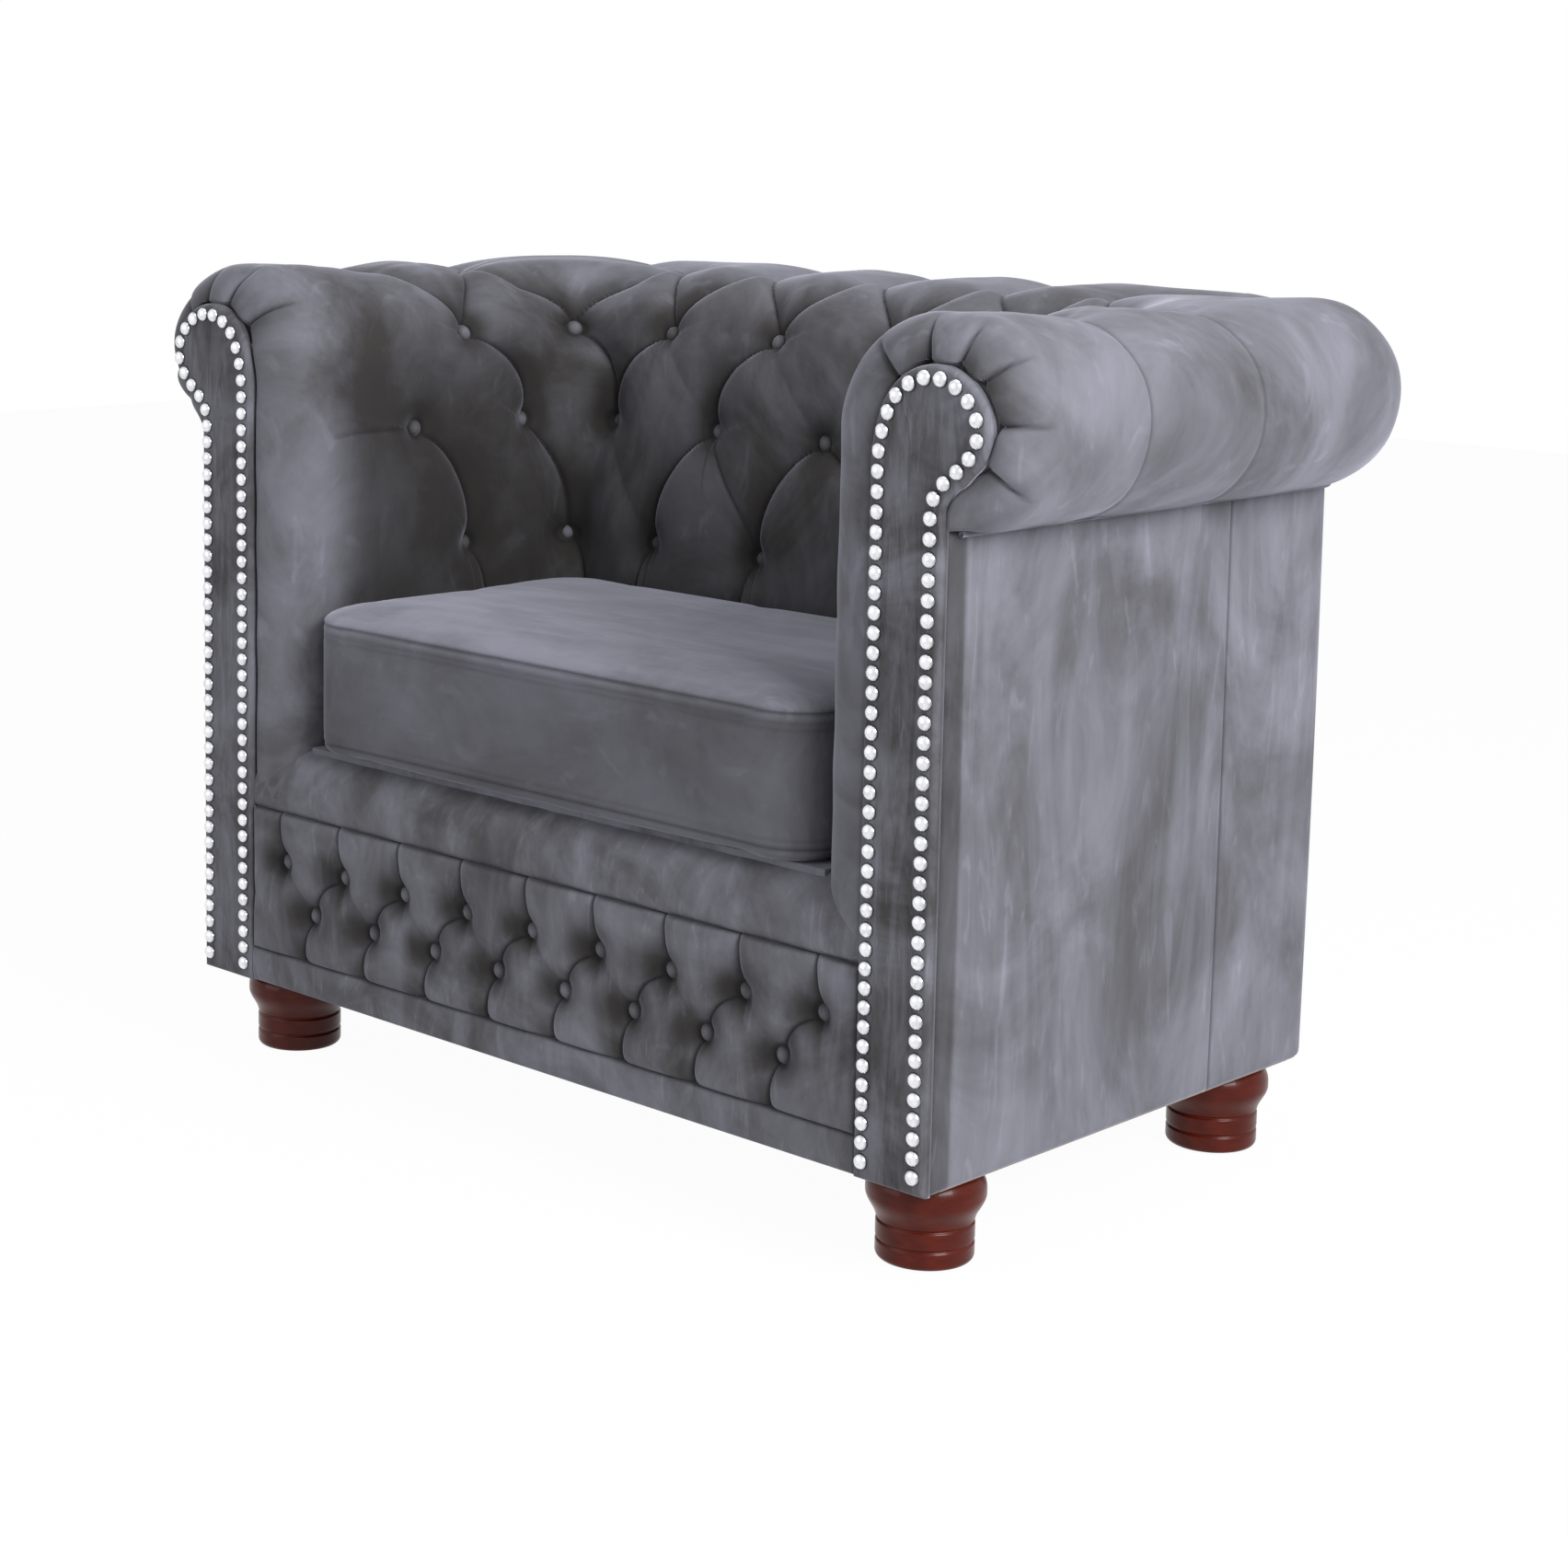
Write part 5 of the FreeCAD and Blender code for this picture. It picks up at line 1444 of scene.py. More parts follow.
@dataclass
class OuterCover:
    """The flat outside of the arms and back, and the piping under the roll."""

    finishes: Finishes
    side_x: float = 0.450
    back_y: float = REAR
    front_y: float = FRONT + 0.0103
    corner: float = 0.025
    top: float = 0.5997
    foot: float = 0.080
    thickness: float = 0.006
    seam_y: float = FRONT + 0.390
    pipe_height: float = 0.5972
    pipe_radius: float = 0.0025

    def build(self) -> list[bpy.types.Object]:
        """Build and dress the panels and the piping."""
        return [self.build_side(Side.RIGHT), self.build_side(Side.LEFT), self.build_back(), self.build_piping()]

    def _panel(self, path: Array, outward: Array, seam: Array, wrinkles: Array, name: str, node: str
               ) -> bpy.types.Object:
        """Carry an upright section along a plan path, with rounded top and bottom edges.

        The face stands out by a low bulge, the sine of its height, less the seam and the wrinkles.

        Args:
            path: plan points of the outer face.
            outward: plan directions that the face looks.
            seam: each point's distance from the seam, along the path.
            wrinkles: how strong the soft level creases are at each point.
            name: the piece's name.
            node: the node that it stands for.

        Returns:
            The piece.
        """
        z = np.concatenate([self.foot + 0.004 * (1 - np.cos(np.linspace(0, np.pi / 2, 5)))[:-1],
                            np.linspace(self.foot + 0.004, self.top - 0.003, 130), [self.top - 0.001, self.top]])
        share = (z - self.foot) / (self.top - self.foot)
        tuck = 0.003 * np.exp(-((z - self.foot) / 0.0022) ** 1.5) + 0.002 * np.exp(-((self.top - z) / 0.002) ** 1.5)
        bulge = 0.0012 * np.sin(np.pi * share) - tuck
        line = np.exp(-((seam / 0.0014) ** 2))
        soft_seam = 0.0008 * np.exp(-np.abs(seam) / 0.006) + 0.0010 * line
        creases = sum(d * np.exp(-(((z - h) / 0.0035) ** 2)) for h, d in ((0.566, 0.9), (0.548, 1.0), (0.531, 0.8),
                                                                       (0.512, 0.5)))
        out = bulge[None] - soft_seam[:, None] - 0.0008 * wrinkles[:, None] * creases[None]
        face = np.concatenate([path[:, None] + outward[:, None] * out[..., None],
                               np.broadcast_to(z[None, :, None], (len(path), len(z), 1))], -1)
        behind = path[:, None] - outward[:, None] * self.thickness + np.zeros((1, len(z), 1))
        back = np.concatenate([behind, np.broadcast_to(z[None, :, None], (len(path), len(z), 1))], -1)
        crease = np.broadcast_to(line[:, None] * 0.7, out.shape)
        edge = np.linspace(0, lengths(path)[-1], len(path))
        # Painted shade along the first 28 mm of a side panel, behind the facing.
        shade = 0.55 * (1.0 - smooth((edge - 0.028) / 0.006))[:, None] * np.ones_like(out)
        shape = slab(face, back, {"crease": crease, "shade": shade * float(wrinkles.any())})
        piece = shape.build(name, self.finishes.flat)
        return place_piece(piece, Body.CHAIR, [node])

    def build_side(self, side: Side) -> bpy.types.Object:
        """Build one arm's outside panel, from the facing round the rear corner."""
        turn = np.linspace(0.0, np.pi / 2, 14)
        nose = self.front_y + 0.004 * (1 - np.cos(np.linspace(0, np.pi / 2, 6)))[:-1]
        y = np.concatenate([nose, np.linspace(self.front_y + 0.004, self.back_y - self.corner, 190)[:-1],
                            self.back_y - self.corner + self.corner * np.sin(turn)])
        x = np.concatenate([self.side_x - 0.004 * (1 - np.sin(np.linspace(0, np.pi / 2, 6)))[:-1],
                            np.full(189, self.side_x), self.side_x - self.corner + self.corner * np.cos(turn)])
        path = np.stack([x * side.value, y], 1)
        angle = np.concatenate([np.zeros(len(x) - 14), turn])
        outward = np.stack([np.cos(angle) * side.value, np.sin(angle)], 1)
        wrinkles = np.exp(-(((y - FRONT - 0.08) / 0.06) ** 2)) * (y > FRONT + 0.03)
        return self._panel(path, outward, y - self.seam_y, wrinkles, f"outer_cover_{side.word}",
                           f"outer_arm_panel_{side.word}")

    def build_back(self) -> bpy.types.Object:
        """Build the back's outside panel."""
        x = np.linspace(-0.4247, 0.4247, 180)
        path = np.stack([x, np.full(180, self.back_y)], 1)
        outward = np.tile([0.0, 1.0], (180, 1))
        return self._panel(path, outward, np.full(180, 1.0), np.zeros(180), "outer_cover_back", "outer_back_panel")

    def build_piping(self) -> bpy.types.Object:
        """Build the piping that closes the roll's underside: a tube round three sides."""
        turn = np.linspace(0.0, np.pi / 2, 14)
        x0, y1, r = self.side_x + 0.0028, self.back_y + 0.0028, self.corner + 0.0028
        half = np.concatenate([
            np.stack([np.full(60, x0), np.linspace(FRONT + 0.021, y1 - r, 60)], 1)[:-1],
            np.stack([x0 - r + r * np.cos(turn), y1 - r + r * np.sin(turn)], 1),
            np.stack([np.linspace(x0 - r, 0.0, 60), np.full(60, y1)], 1)[1:]])
        path = np.concatenate([half, half[-2::-1] * [-1.0, 1.0]])
        line = np.concatenate([path, np.full((len(path), 1), self.pipe_height)], 1)
        shape = tube(line, self.pipe_radius, 10)
        piece = shape.build("roll_piping", self.finishes.flat)
        return place_piece(piece, Body.CHAIR, ["under_roll_piping"])


@dataclass
class FrontBase:
    """The plain border under the cushion, the tufted panel below it and the plain strip at the bottom."""

    finishes: Finishes
    half_width: float = 0.3774
    panel_half: float = 0.3777
    border_top: float = 0.3128
    border_foot: float = 0.2515
    panel_top: float = 0.2507
    panel_foot: float = 0.1143
    panel_front: float = FRONT + 0.0015
    panel_back: float = FRONT + 0.0177
    pitch: float = 0.084
    upper_z: float = 0.2025
    lower_z: float = 0.158
    button_radius: float = 0.0080
    button_height: float = 0.0062

    def build(self) -> list[bpy.types.Object]:
        """Build and dress the border, the panel, its buttons and the strip."""
        return [self.build_border(), *self.build_panel(), self.build_strip()]

    def build_border(self) -> bpy.types.Object:
        """Build the border: its top closes forward by the cosine and its depth by the sine, then it drops."""
        x = np.linspace(-self.half_width, self.half_width, 320)
        turn = np.linspace(0.0, np.pi / 2, 26)
        z = np.concatenate([self.border_top - 0.050 * (1 - np.cos(turn)),
                            np.linspace(self.border_top - 0.050, self.border_foot, 8)[1:]])
        y = FRONT + np.concatenate([0.0475 - 0.0425 * np.sin(turn), np.full(7, 0.005)])
        y = y + 0.003 * np.exp(-((z - self.border_foot) / 0.003) ** 1.5)
        ripple = 0.0006 * np.sin(90 * x + 1.7 * np.sin(31 * x))[:, None] * np.sin(np.pi * np.linspace(0, 1, len(z)))
        face = np.stack([np.broadcast_to(x[:, None], ripple.shape), y[None] + ripple,
                         np.broadcast_to(z[None], ripple.shape)], -1)
        back = face * [1.0, 0.0, 1.0] + [0.0, FRONT + 0.052, 0.0]
        crease = np.exp(-((z - self.border_foot) / 0.0015) ** 2)[None] * np.ones((len(x), 1))
        shape = slab(face, back, {"crease": 0.8 * crease, "shade": 0 * crease})
        piece = shape.build("front_border_cover", self.finishes.front)
        return place_piece(piece, Body.CHAIR, ["front_border"])

    def _surface(self, x: Array, z: Array) -> Array:
        """Give points of the flat panel before it is tufted."""
        return np.stack([x, np.full_like(x, self.panel_front), z], -1)

    def _tufting(self) -> TuftField:
        """Lay out the panel's two rows of buttons and their pleats.

        Returns:
            The panel's relief.
        """
        upper = (np.arange(9) - 4) * self.pitch
        lower = (np.arange(8) - 3.5) * self.pitch
        rim = self.button_radius + 0.0006
        tufts = [Tuft((float(x), self.upper_z), 0.0120, 0.013, 0.005, rim) for x in upper]
        tufts += [Tuft((float(x), self.lower_z), 0.0120, 0.013, 0.005, rim) for x in lower]
        tufts += [Tuft((float(x) - 0.013, self.upper_z + 0.001), 0.0052, 0.014, 0.002) for x in upper]
        tufts += [Tuft((float(x) - 0.013, self.lower_z), 0.0052, 0.014, 0.002) for x in lower]
        pleats = []
        top, foot = self.panel_top, self.panel_foot
        for x in upper:
            pleats.append(Pleat(((x - 0.004, top), (x - 0.005, top - 0.014), (x - 0.003, self.upper_z + 0.014),
                                 (x, self.upper_z)), (0.0050, 0.0070, 0.0090), (0.0032,), -1, 0.018, 0.006, 0.0014))
        for x in lower:
            start = x + self.pitch / 2
            pleats.append(Pleat(((start - 0.003, self.upper_z - 0.005), (x + 0.018, self.upper_z - 0.012),
                                 (x + 0.010, self.lower_z + 0.026), (x + 0.002, self.lower_z + 0.006)),
                                (0.0085, 0.0075, 0.0085), (0.0028,), 1, 0.016, 0.006, 0.0014))
            pleats.append(Pleat(((x - self.pitch / 2 + 0.003, self.upper_z - 0.006), (x - 0.012, self.lower_z + 0.018),
                                 (x, self.lower_z)), (0.0065, 0.0050, 0.0070), (0.0,), 0, 0.012, 0.012))
            pleats.append(Pleat(((x, self.lower_z - 0.004), (x - 0.008, self.lower_z - 0.011),
                                 (x - 0.011, self.lower_z - 0.026), (x - 0.008, foot)),
                                (0.0085, 0.0065, 0.0050), (0.0032,), -1, 0.017, 0.006, 0.0014))
        for sign in (-1, 1):
            end = sign * (self.panel_half + 0.002)
            near = sign * 4 * self.pitch
            pleats.append(Pleat(((near, self.upper_z), (end, self.lower_z + 0.006)), (0.0040, 0.0015), (0.0,), 0,
                                0.010, 0.010))
        return TuftField(self._surface, pleats, tufts, 2.4)

    def build_panel(self) -> list[bpy.types.Object]:
        """Build the tufted panel and its buttons; its edges turn in at all four sides."""
        tufting = self._tufting()
        x = np.linspace(-self.panel_half, self.panel_half, 500)
        z = np.linspace(self.panel_foot, self.panel_top, 98)
        gx, gz = np.meshgrid(x, z, indexing="ij")
        base = self._surface(gx, gz)
        depth, crease, shade = tufting.relief(np.stack([gx.ravel(), gz.ravel()], 1), base.reshape(-1, 3))
        depth, crease, shade = (v.reshape(gx.shape) for v in (depth, crease, shade))
        edge = np.minimum(np.minimum(gz - self.panel_foot, self.panel_top - gz), self.panel_half - np.abs(gx))
        tuck = 0.0045 * np.exp(-edge / 0.0035)
        face = base + np.stack([0 * gx, depth + tuck - 0.0015, 0 * gx], -1)
        back = base * [1.0, 0.0, 1.0] + [0.0, self.panel_back, 0.0]
        # Darker along the panel's turned-in edges, and painted shade in its button hollows from the shade value.
        crease = np.maximum(crease, 0.9 * np.exp(-((edge / 0.0014) ** 2)))
        shape = slab(face, back, {"crease": crease, "shade": np.clip(1.2 * shade, 0, 1)})
        panel = place_piece(shape.build("tufted_base_panel", self.finishes.front), Body.CHAIR,
                            ["base_panel"])
        upper = [((k - 4) * self.pitch, self.upper_z) for k in range(9)]
        lower = [((k - 3.5) * self.pitch, self.lower_z) for k in range(8)]
        places = np.array(upper + lower)
        seat = self._surface(places[:, 0], places[:, 1])
        seat[:, 1] += tufting.relief(places, seat)[0] - 0.0017
        normal = np.tile([0.0, -1.0, 0.0], (len(seat), 1))
        shape = domes(seat, normal, self.button_radius, self.button_height, 0.003, 20, 6)
        buttons = place_piece(shape.build("covered_base_buttons", self.finishes.front), Body.CHAIR,
                              ["base_buttons"])
        return [panel, buttons]

    def build_strip(self) -> bpy.types.Object:
        """Build the plain strip: a low sine bulge, and both edges turned in by exponentials of the height."""
        x = np.linspace(-self.panel_half, self.panel_half, 200)
        share = np.linspace(0.0, 1.0, 26)
        z = 0.080 + 0.034 * share
        turned = 0.004 * np.exp(-share * 34) + 0.003 * np.exp(-(1 - share) * 26)
        y = FRONT + 0.0038 - 0.0012 * np.sin(np.pi * share) + turned
        ripple = 0.0004 * np.sin(55 * x + 1.2 * np.sin(19 * x))[:, None] * np.sin(np.pi * share)
        face = np.stack([np.broadcast_to(x[:, None], ripple.shape), y[None] + ripple,
                         np.broadcast_to(z[None], ripple.shape)], -1)
        back = face * [1.0, 0.0, 1.0] + [0.0, self.panel_back, 0.0]
        crease = np.exp(-((1 - share) / 0.05) ** 2)[None] * np.ones((len(x), 1))
        shape = slab(face, back, {"crease": 0.8 * crease, "shade": 0 * crease})
        return place_piece(shape.build("bottom_strip_cover", self.finishes.front), Body.CHAIR,
                           ["base_strip"])


# ---------------------------------------------------------------- seat cushion


@dataclass
class SeatCushion:
    """The loose seat cushion: a boxed, crowned form, swelled by cloth simulation, then seamed."""

    finishes: Finishes
    half_width: float = 0.3180
    front: float = FRONT + 0.0030
    back: float = SEAT_BACK - 0.0020
    foot: float = 0.3136
    lower_seam: float = 0.3253
    upper_seam: float = 0.4353
    crown: float = 0.4555
    corner: float = 0.050
    edge_roll: float = 0.016
    pressure: float = 4.0
    reach: float = 0.006
    frames: int = 20
    shrink: float = 0.003
    cloth_around: int = 180
    cloth_rings: tuple[int, int, int] = (20, 6, 16)
    around: int = 440
    top_rings: int = 46
    edge_rings: int = 12
    side_rings: int = 40
    widest: float = 0.3170
    heights: tuple[float, float] = (0.3134, 0.4600)

    def _outline(self, count: int) -> tuple[Array, Array]:
        """Give the rounded plan outline and its outward directions, evenly spaced.

        Args:
            count: how many points round.

        Returns:
            Plan points and unit directions.
        """
        hx, hy, r = self.half_width, (self.back - self.front) / 2, self.corner
        centre = np.array([0.0, (self.back + self.front) / 2])
        turn = np.linspace(0.0, np.pi / 2, 40)
        corners = []
        for k, (sx, sy) in enumerate(((1, 1), (-1, 1), (-1, -1), (1, -1))):
            angle = turn + k * np.pi / 2
            corners.append(np.stack([sx * (hx - r) + r * np.cos(angle), sy * (hy - r) + r * np.sin(angle)], 1))
        loop = np.concatenate(corners + [corners[0][:1]])
        points = resample(loop, count + 1)
        along = np.roll(points[:-1], -1, 0) - np.roll(points[:-1], 1, 0)
        outward = np.stack([along[:, 1], -along[:, 0]], 1)
        return points[:-1] + centre, outward / np.linalg.norm(outward, axis=1, keepdims=True)

    def _grid(self, around: int, top: int, edge: int, side: int, swell: float) -> Array:
        """Give the plain cushion as rings from the middle of its top to the middle of its foot.

        The top's rings shrink towards the middle and rise to the crown by one less the share to
        the power 4.5, its edge turns over a quarter circle to the seam, the sides draw in by the
        sine of their height between the corners, and the foot lies flat.

        Args:
            around: points in each ring.
            top: rings of the top, and of the foot.
            edge: rings of each turned edge.
            side: rings of the side.
            swell: how far the form is drawn in all round, before it is swelled.

        Returns:
            The grid.
        """
        outline, outward = self._outline(around)
        centre = outline.mean(0)
        roll = self.edge_roll
        share = np.linspace(0.0, 1.0, top, endpoint=False)
        turn = np.linspace(0.0, np.pi / 2, edge, endpoint=False)
        up = np.linspace(0.0, 1.0, side)
        low_roll = self.lower_seam - self.foot
        inset = np.concatenate([np.full(top, roll), roll * (1 - np.sin(turn)), np.zeros(side),
                                low_roll * (1 - np.cos(turn + np.pi / 2 / edge)), np.full(top, low_roll)])
        scale = np.concatenate([share, np.ones(2 * edge + side), share[::-1]])
        edge_z = self.upper_seam + 0.0095
        crown = (self.crown - edge_z) * (1 - share**4.5)
        height = np.concatenate([
            edge_z + crown, self.upper_seam + 0.0095 * np.cos(turn),
            self.upper_seam + (self.lower_seam - self.upper_seam) * up,
            self.lower_seam - low_roll * np.sin(turn + np.pi / 2 / edge), np.full(top, self.foot)])
        inset = inset + swell
        rim = outline[None] - outward[None] * inset[:, None, None]
        plan = centre + (rim - centre) * scale[:, None, None]
        body = np.concatenate([np.zeros(top + edge), np.sin(np.pi * up), np.zeros(top + edge)])
        straight = np.abs(outward).max(1) ** 12
        plan = plan - outward[None] * (0.0015 * body[:, None] * straight[None])[..., None]
        z = np.broadcast_to(height[:, None], plan.shape[:2])
        return np.concatenate([plan, z[..., None]], -1)

    def _closed(self, grid: Array, values: dict[str, Array] | None = None) -> Shape:
        """Close a grid of rings into one skin, its two end rings drawn to points.

        Args:
            grid: the rings.
            values: what the finish reads at each point.

        Returns:
            The closed shape.
        """
        rings, around = grid.shape[:2]
        faces = [grid_faces(rings - 2, around, wrap_columns=True)]
        step, after = np.arange(around), (np.arange(around) + 1) % around
        count = (rings - 2) * around
        last = (rings - 3) * around
        faces.append(np.stack([after, step, np.full(around, count)], 1))
        faces.append(np.stack([last + step, last + after, np.full(around, count + 1)], 1))
        points = np.concatenate([grid[1:-1].reshape(-1, 3), grid[:1, 0], grid[-1:, 0]])
        filled = {k: np.concatenate([v[1:-1].reshape(-1), [v[0, 0], v[-1, 0]]]) for k, v in (values or {}).items()}
        return Shape(points, faces, None, filled).outward()

    def _swelled(self, grid: Array) -> Array:
        """Blow the grid up with cloth simulation and give how far each point moved, capped.

        Args:
            grid: the plain cushion's rings.

        Returns:
            The moves, in the shape of the grid.
        """
        dummy = bpy.data.materials.new("cloth_dummy")
        shape = self._closed(grid)
        piece = shape.build("cushion_cloth", dummy)
        cloth = piece.modifiers.new("cloth", "CLOTH")
        cloth.settings.quality = 6
        cloth.settings.mass = 0.3
        cloth.settings.use_pressure = True
        cloth.settings.uniform_pressure_force = self.pressure
        cloth.settings.effector_weights.gravity = 0.0
        cloth.point_cache.frame_start = 1
        cloth.point_cache.frame_end = self.frames
        scene = bpy.context.scene
        for number in range(1, self.frames + 1):
            scene.frame_set(number)
        mesh = piece.evaluated_get(bpy.context.evaluated_depsgraph_get()).data
        moved = np.empty(len(mesh.vertices) * 3, np.float32)
        mesh.vertices.foreach_get("co", moved)
        move = moved.reshape(-1, 3).astype(float) - shape.points
        scene.frame_set(1)
        old = piece.data
        bpy.data.objects.remove(piece)
        bpy.data.meshes.remove(old)
        bpy.data.materials.remove(dummy)
        size = np.linalg.norm(move, axis=1, keepdims=True)
        move *= np.minimum(1.0, self.reach / np.maximum(size, 1e-9))
        full = np.zeros_like(grid)
        full[1:-1] = move[:-2].reshape(grid.shape[0] - 2, grid.shape[1], 3)
        full[0], full[-1] = move[-2], move[-1]
        return full

    @staticmethod
    def _finer(move: Array, rings: Array, fine_rings: Array, around: int) -> Array:
        """Spread a coarse grid's moves over a finer one, straight between its points.

        Args:
            move: the coarse moves.
            rings: each coarse ring's place along the section.
            fine_rings: each fine ring's place.
            around: points in each fine ring.

        Returns:
            The fine moves.
        """
        at = np.interp(fine_rings, rings, np.arange(len(rings)))
        low = np.minimum(at.astype(int), len(rings) - 2)
        part = (at - low)[:, None, None]
        tall = move[low] * (1 - part) + move[low + 1] * part
        cols = np.arange(around) * move.shape[1] / around
        left = cols.astype(int)
        share = (cols - left)[None, :, None]
        return tall[:, left] * (1 - share) + tall[:, (left + 1) % move.shape[1]] * share

    def build(self) -> bpy.types.Object:
        """Build and dress the cushion.

        Returns:
            The cushion.
        """
        rings = (self.top_rings, self.edge_rings, self.side_rings)
        move = self._swelled(self._grid(self.cloth_around, *self.cloth_rings, self.shrink))
        fine = self._grid(self.around, *rings, self.shrink)
        fine = fine + self._finer(move, self._marks(*self.cloth_rings), self._marks(*rings), self.around)
        groove, line = self._seams(fine)
        fine = fine + groove
        fine[..., 0] = np.clip(fine[..., 0], -self.widest, self.widest)
        fine[..., 1] = np.clip(fine[..., 1], FRONT + 0.0016, SEAT_BACK - 0.0030)
        fine[..., 2] = np.clip(fine[..., 2], *self.heights)
        shape = self._closed(fine, {"crease": line, "shade": self._side_shade(fine)})
        piece = shape.build("seat_cushion_velvet", self.finishes.seat)
        return place_piece(piece, Body.CUSHION,
                           ["seat_cushion_cover", "seat_cushion_core"])

    def _side_shade(self, grid: Array) -> Array:
        """Paint shade on the sides and the foot, below the lit top: an ease of the height below the top seam."""
        return 0.52 * (1.0 - smooth((grid[..., 2] - self.upper_seam + 0.012) / 0.020))

    @staticmethod
    def _marks(top: int, edge: int, side: int) -> Array:
        """Give each ring's place along the section, one unit for each of its five stretches."""
        part = [np.linspace(0, 1, top, endpoint=False), 1 + np.linspace(0, 1, edge, endpoint=False),
                2 + np.linspace(0, 1, side), 3 + (np.arange(edge) + 1) / edge,
                4 + (np.arange(top) + 1) / top]
        return np.concatenate(part)

    def _seams(self, grid: Array) -> tuple[Array, Array]:
        """Press the sewn lines into the cushion along its rings.

        Each line's groove falls as the exponential of the square of the height from it.

        Args:
            grid: the cushion's rings.

        Returns:
            The moves and the crease value at each point.
        """
        middle = grid.mean(1, keepdims=True)
        outward = grid - middle
        outward[..., 2] = 0.0
        outward /= np.maximum(np.linalg.norm(outward, axis=-1, keepdims=True), 1e-9)
        z = grid[..., 2]
        rings = np.arange(len(grid))[:, None]
        wall = (rings >= self.top_rings + self.edge_rings // 3) & (rings < len(grid) - self.top_rings)
        groove, line = np.zeros(z.shape), np.zeros(z.shape)
        lines = ((self.upper_seam + 0.001, 0.0016, 1.0), (self.upper_seam - 0.0075, 0.0007, 0.35),
                 (self.upper_seam - 0.0130, 0.0005, 0.25), (self.lower_seam, 0.0014, 0.9),
                 (self.lower_seam + 0.0065, 0.0006, 0.3))
        for height, depth, strength in lines:
            near = np.exp(-(((z - height) / 0.0016) ** 2)) * wall
            groove += depth * near
            line = np.maximum(line, strength * near)
        return -outward * groove[..., None], 0.75 * line


# ---------------------------------------------------------------- feet


@dataclass
class TurnedFeet:
    """The four turned feet: a straight grooved base and a bulge under a collar."""

    finishes: Finishes
    x: float = 0.395
    front_y: float = FRONT + 0.074
    rear_y: float = REAR - 0.070

    def section(self) -> Array:
        """Give the foot's radius and height, from the floor up.

        A straight base, rounded at the floor and cut by two fine grooves, eases out to a bulge,
        which turns in again towards the collar by a power of the height above it.

        Returns:
            Radius and height, one pair per row.
        """
        z = np.linspace(0.002, 0.0765, 120)
        radius = 0.0402 + 0.0088 * smooth((z - 0.0350) / 0.0220)
        radius -= 0.0080 * np.clip((z - 0.0600) / 0.0170, 0.0, 1.0) ** 2.2
        radius -= 0.0016 * (np.exp(-(((z - 0.0180) / 0.0012) ** 2)) + np.exp(-(((z - 0.0345) / 0.0012) ** 2)))
        radius -= 0.0045 * (1.0 - np.sqrt(1.0 - np.clip((0.0070 - z) / 0.0050, 0.0, 1.0) ** 2))
        return np.stack([radius, z], 1)

    def build(self) -> list[bpy.types.Object]:
        """Build and dress the four feet."""
        made = []
        for place, y in (("front", self.front_y), ("rear", self.rear_y)):
            for side in Side:
                shape = lathe(self.section(), (self.x * side.value, y), 72)
                piece = shape.build(f"turned_foot_{place}_{side.word}", self.finishes.feet)
                made.append(place_piece(piece, Body.CHAIR, [f"foot_{place}_{side.word}"]))
        return made


# ---------------------------------------------------------------- studio


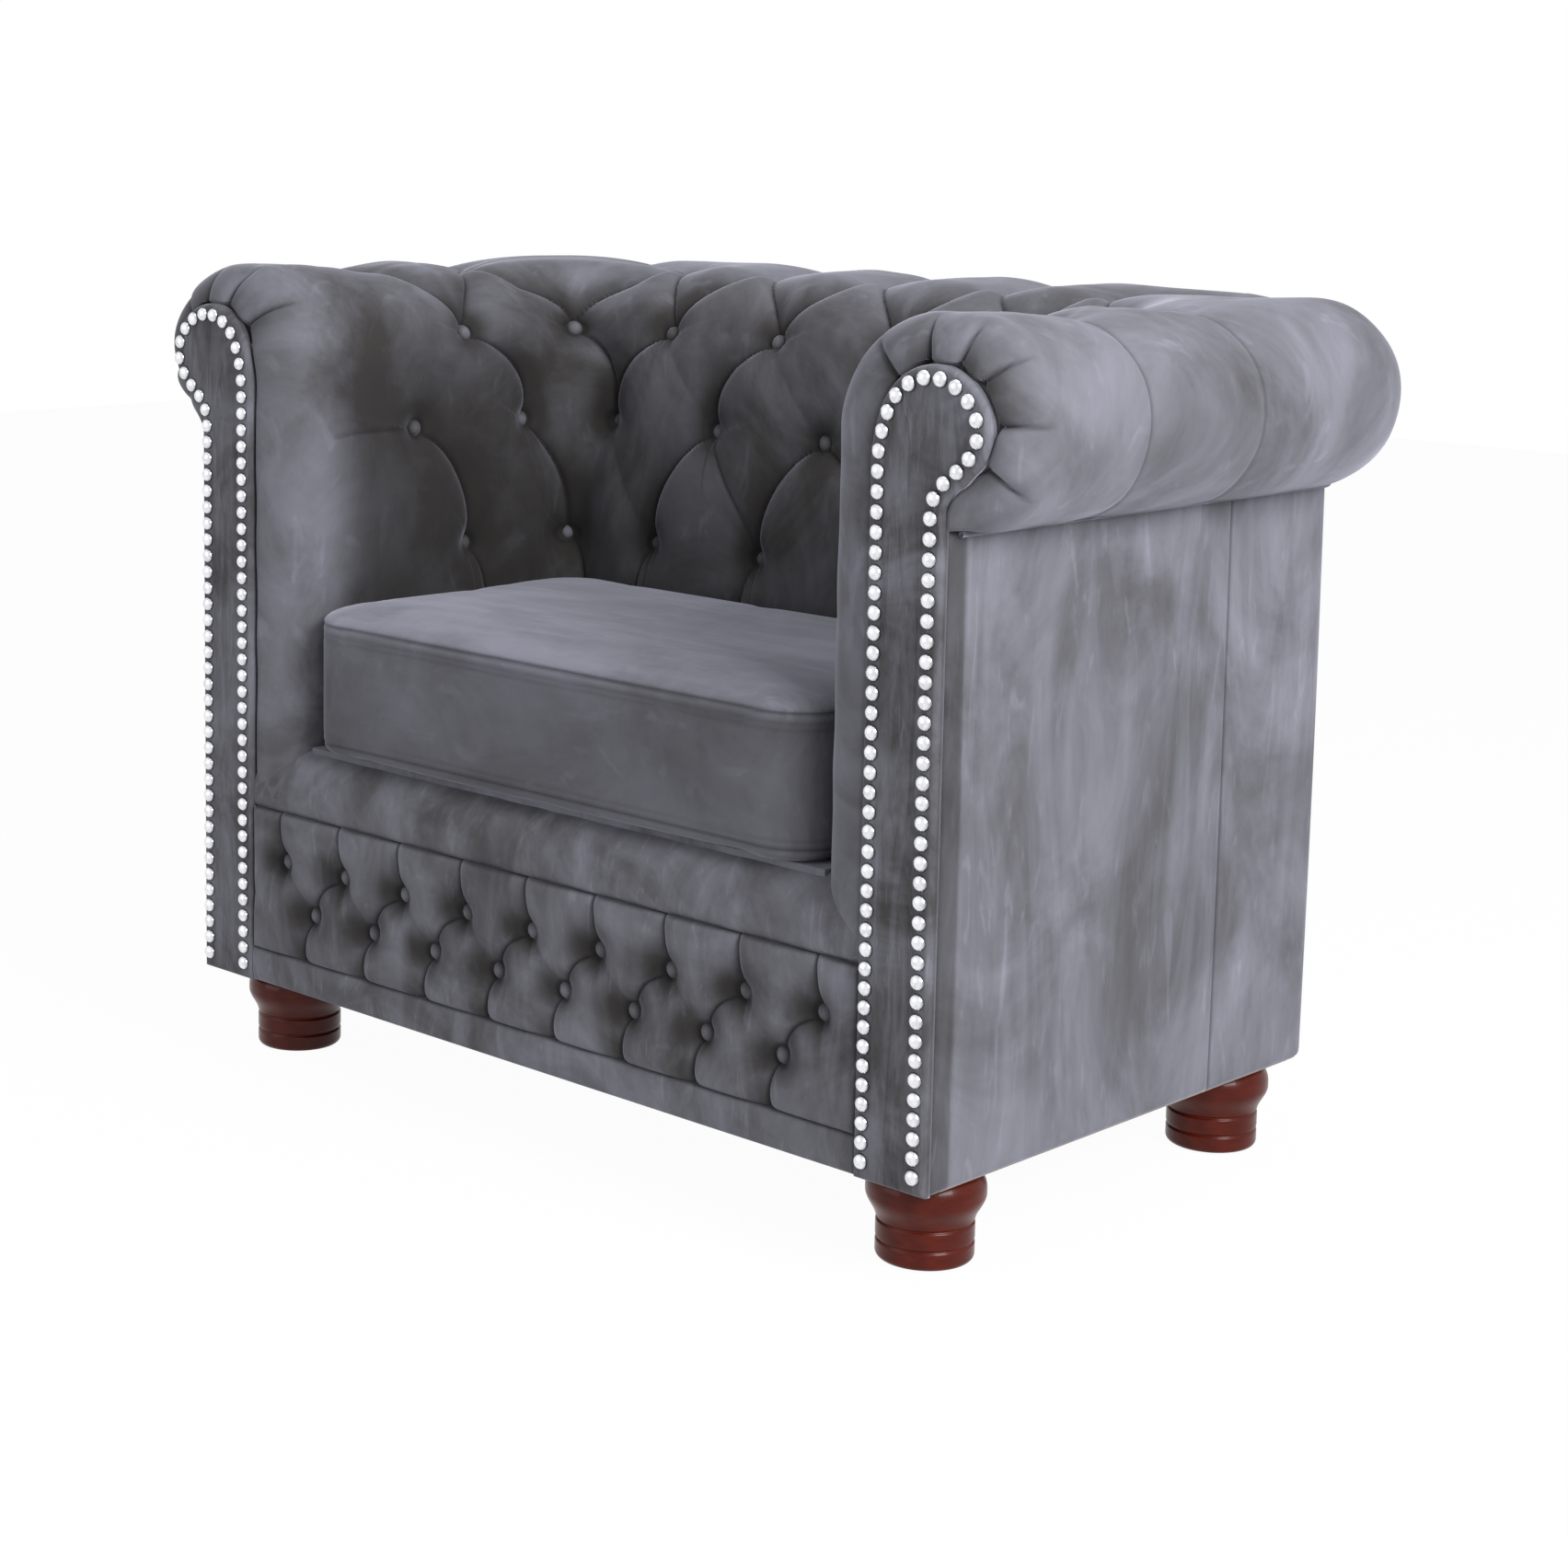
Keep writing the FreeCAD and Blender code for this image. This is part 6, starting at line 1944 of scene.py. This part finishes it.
@dataclass
class Studio:
    """A pale floor, soft lamps, and the camera at the photograph's angle."""

    azimuth: float = 44.0233
    pitch: float = 8.0153
    roll: float = 0.8796
    place: tuple[float, float, float] = (1.8603, -2.0720, 0.8987)
    lens: float = 69.63
    shift: tuple[float, float] = (0.0799, -0.1409)

    def build(self) -> None:
        """Set up the floor, the world, the lamps and the camera."""
        self.build_floor()
        self.build_world()
        self.lamp("key_lamp", (3.0, -0.7, 2.1), (0.05, 0.0, 0.45), 1.5, 128.0)
        self.lamp("top_lamp", (0.3, 0.2, 3.0), (0.0, 0.0, 0.3), 2.2, 26.0)
        self.lamp("front_lamp", (-1.2, -3.0, 1.4), (0.0, 0.0, 0.4), 2.0, 20.0)
        self.build_camera()
        bpy.context.scene.view_settings.view_transform = "Standard"

    def build_floor(self) -> None:
        """Build the floor, which shows white and keeps a soft shadow."""
        steps = np.linspace(-6.0, 6.0, 13)
        gx, gy = np.meshgrid(steps, steps, indexing="ij")
        points = np.stack([gx, gy, np.zeros_like(gx)], -1).reshape(-1, 3)
        material, graph, shader = new_material("studio_floor")
        shader.inputs["Base Color"].default_value = (0.86, 0.86, 0.86, 1.0)
        shader.inputs["Roughness"].default_value = 0.9
        glow = graph.add("ShaderNodeEmission", {"Color": (1.0, 1.0, 1.0, 1.0), "Strength": 1.0})
        rays = graph.add("ShaderNodeLightPath")
        seen = graph.math("MAXIMUM", rays.outputs["Is Camera Ray"], rays.outputs["Is Glossy Ray"])
        part = graph.math("MULTIPLY", seen, 0.965)
        mixed = graph.add("ShaderNodeMixShader", {0: part})
        graph.tree.links.new(shader.outputs[0], mixed.inputs[1])
        graph.tree.links.new(glow.outputs[0], mixed.inputs[2])
        graph.tree.links.new(mixed.outputs[0], material.node_tree.nodes["Material Output"].inputs[0])
        Shape(points, [grid_faces(13, 13)]).build("studio_floor", material)

    def build_world(self) -> None:
        """Build the world: white where it is seen, soft grey where it lights."""
        world = bpy.data.worlds.new("studio_world")
        world.use_nodes = True
        graph = Graph(world.node_tree)
        sky = world.node_tree.nodes["Background"]
        rays = graph.add("ShaderNodeLightPath")
        seen = graph.math("MAXIMUM", rays.outputs["Is Camera Ray"], rays.outputs["Is Transmission Ray"])
        seen = graph.math("MAXIMUM", seen, rays.outputs["Is Glossy Ray"])
        strength = graph.math("ADD", graph.math("MULTIPLY", seen, 0.68), 0.32)
        sky.inputs[0].default_value = (1.0, 1.0, 1.0, 1.0)
        graph.tree.links.new(strength, sky.inputs[1])
        bpy.context.scene.world = world

    def lamp(self, name: str, place: Colour, target: Colour, size: float, power: float) -> None:
        """Add one square lamp.

        Args:
            name: its name.
            place: where it hangs.
            target: where it looks.
            size: the side of the square.
            power: its power in watts.
        """
        data = bpy.data.lights.new(name, "AREA")
        data.size, data.energy = size, power
        lamp = bpy.data.objects.new(name, data)
        lamp.location = place
        lamp.rotation_mode = "QUATERNION"
        lamp.rotation_quaternion = (Vector(target) - Vector(place)).to_track_quat("-Z", "Y")
        bpy.context.scene.collection.objects.link(lamp)

    def build_camera(self) -> None:
        """Build the camera from its three angles."""
        az, pitch, roll = (math.radians(v) for v in (self.azimuth, self.pitch, self.roll))
        ahead = Vector((-math.sin(az) * math.cos(pitch), math.cos(az) * math.cos(pitch), -math.sin(pitch)))
        right = Vector((math.cos(az), math.sin(az), 0.0))
        up = right.cross(ahead)
        across = right * math.cos(roll) + up * math.sin(roll)
        upright = up * math.cos(roll) - right * math.sin(roll)
        data = bpy.data.cameras.new("photo_camera")
        data.lens, data.sensor_width = self.lens, 36.0
        data.shift_x, data.shift_y = self.shift
        data.dof.use_dof = False
        camera = bpy.data.objects.new("photo_camera", data)
        camera.matrix_world = Matrix((
            (across.x, upright.x, -ahead.x, self.place[0]), (across.y, upright.y, -ahead.y, self.place[1]),
            (across.z, upright.z, -ahead.z, self.place[2]), (0.0, 0.0, 0.0, 1.0)))
        bpy.context.scene.collection.objects.link(camera)
        bpy.context.scene.camera = camera


def main() -> None:
    """Build the chair's looks in order and report each piece."""
    logging.basicConfig(level=logging.INFO, format="%(message)s", stream=sys.stdout)
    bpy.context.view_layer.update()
    finishes = Finishes()
    plan = RollPlan()
    TuftedShell(plan, finishes).build()
    for side in Side:
        ArmFront(side, finishes).build()
    OuterCover(finishes).build()
    FrontBase(finishes).build()
    SeatCushion(finishes).build()
    TurnedFeet(finishes).build()
    finishes.dress_nodes(frame["nodes"])
    Studio().build()


if __name__ == "__main__":
    main()
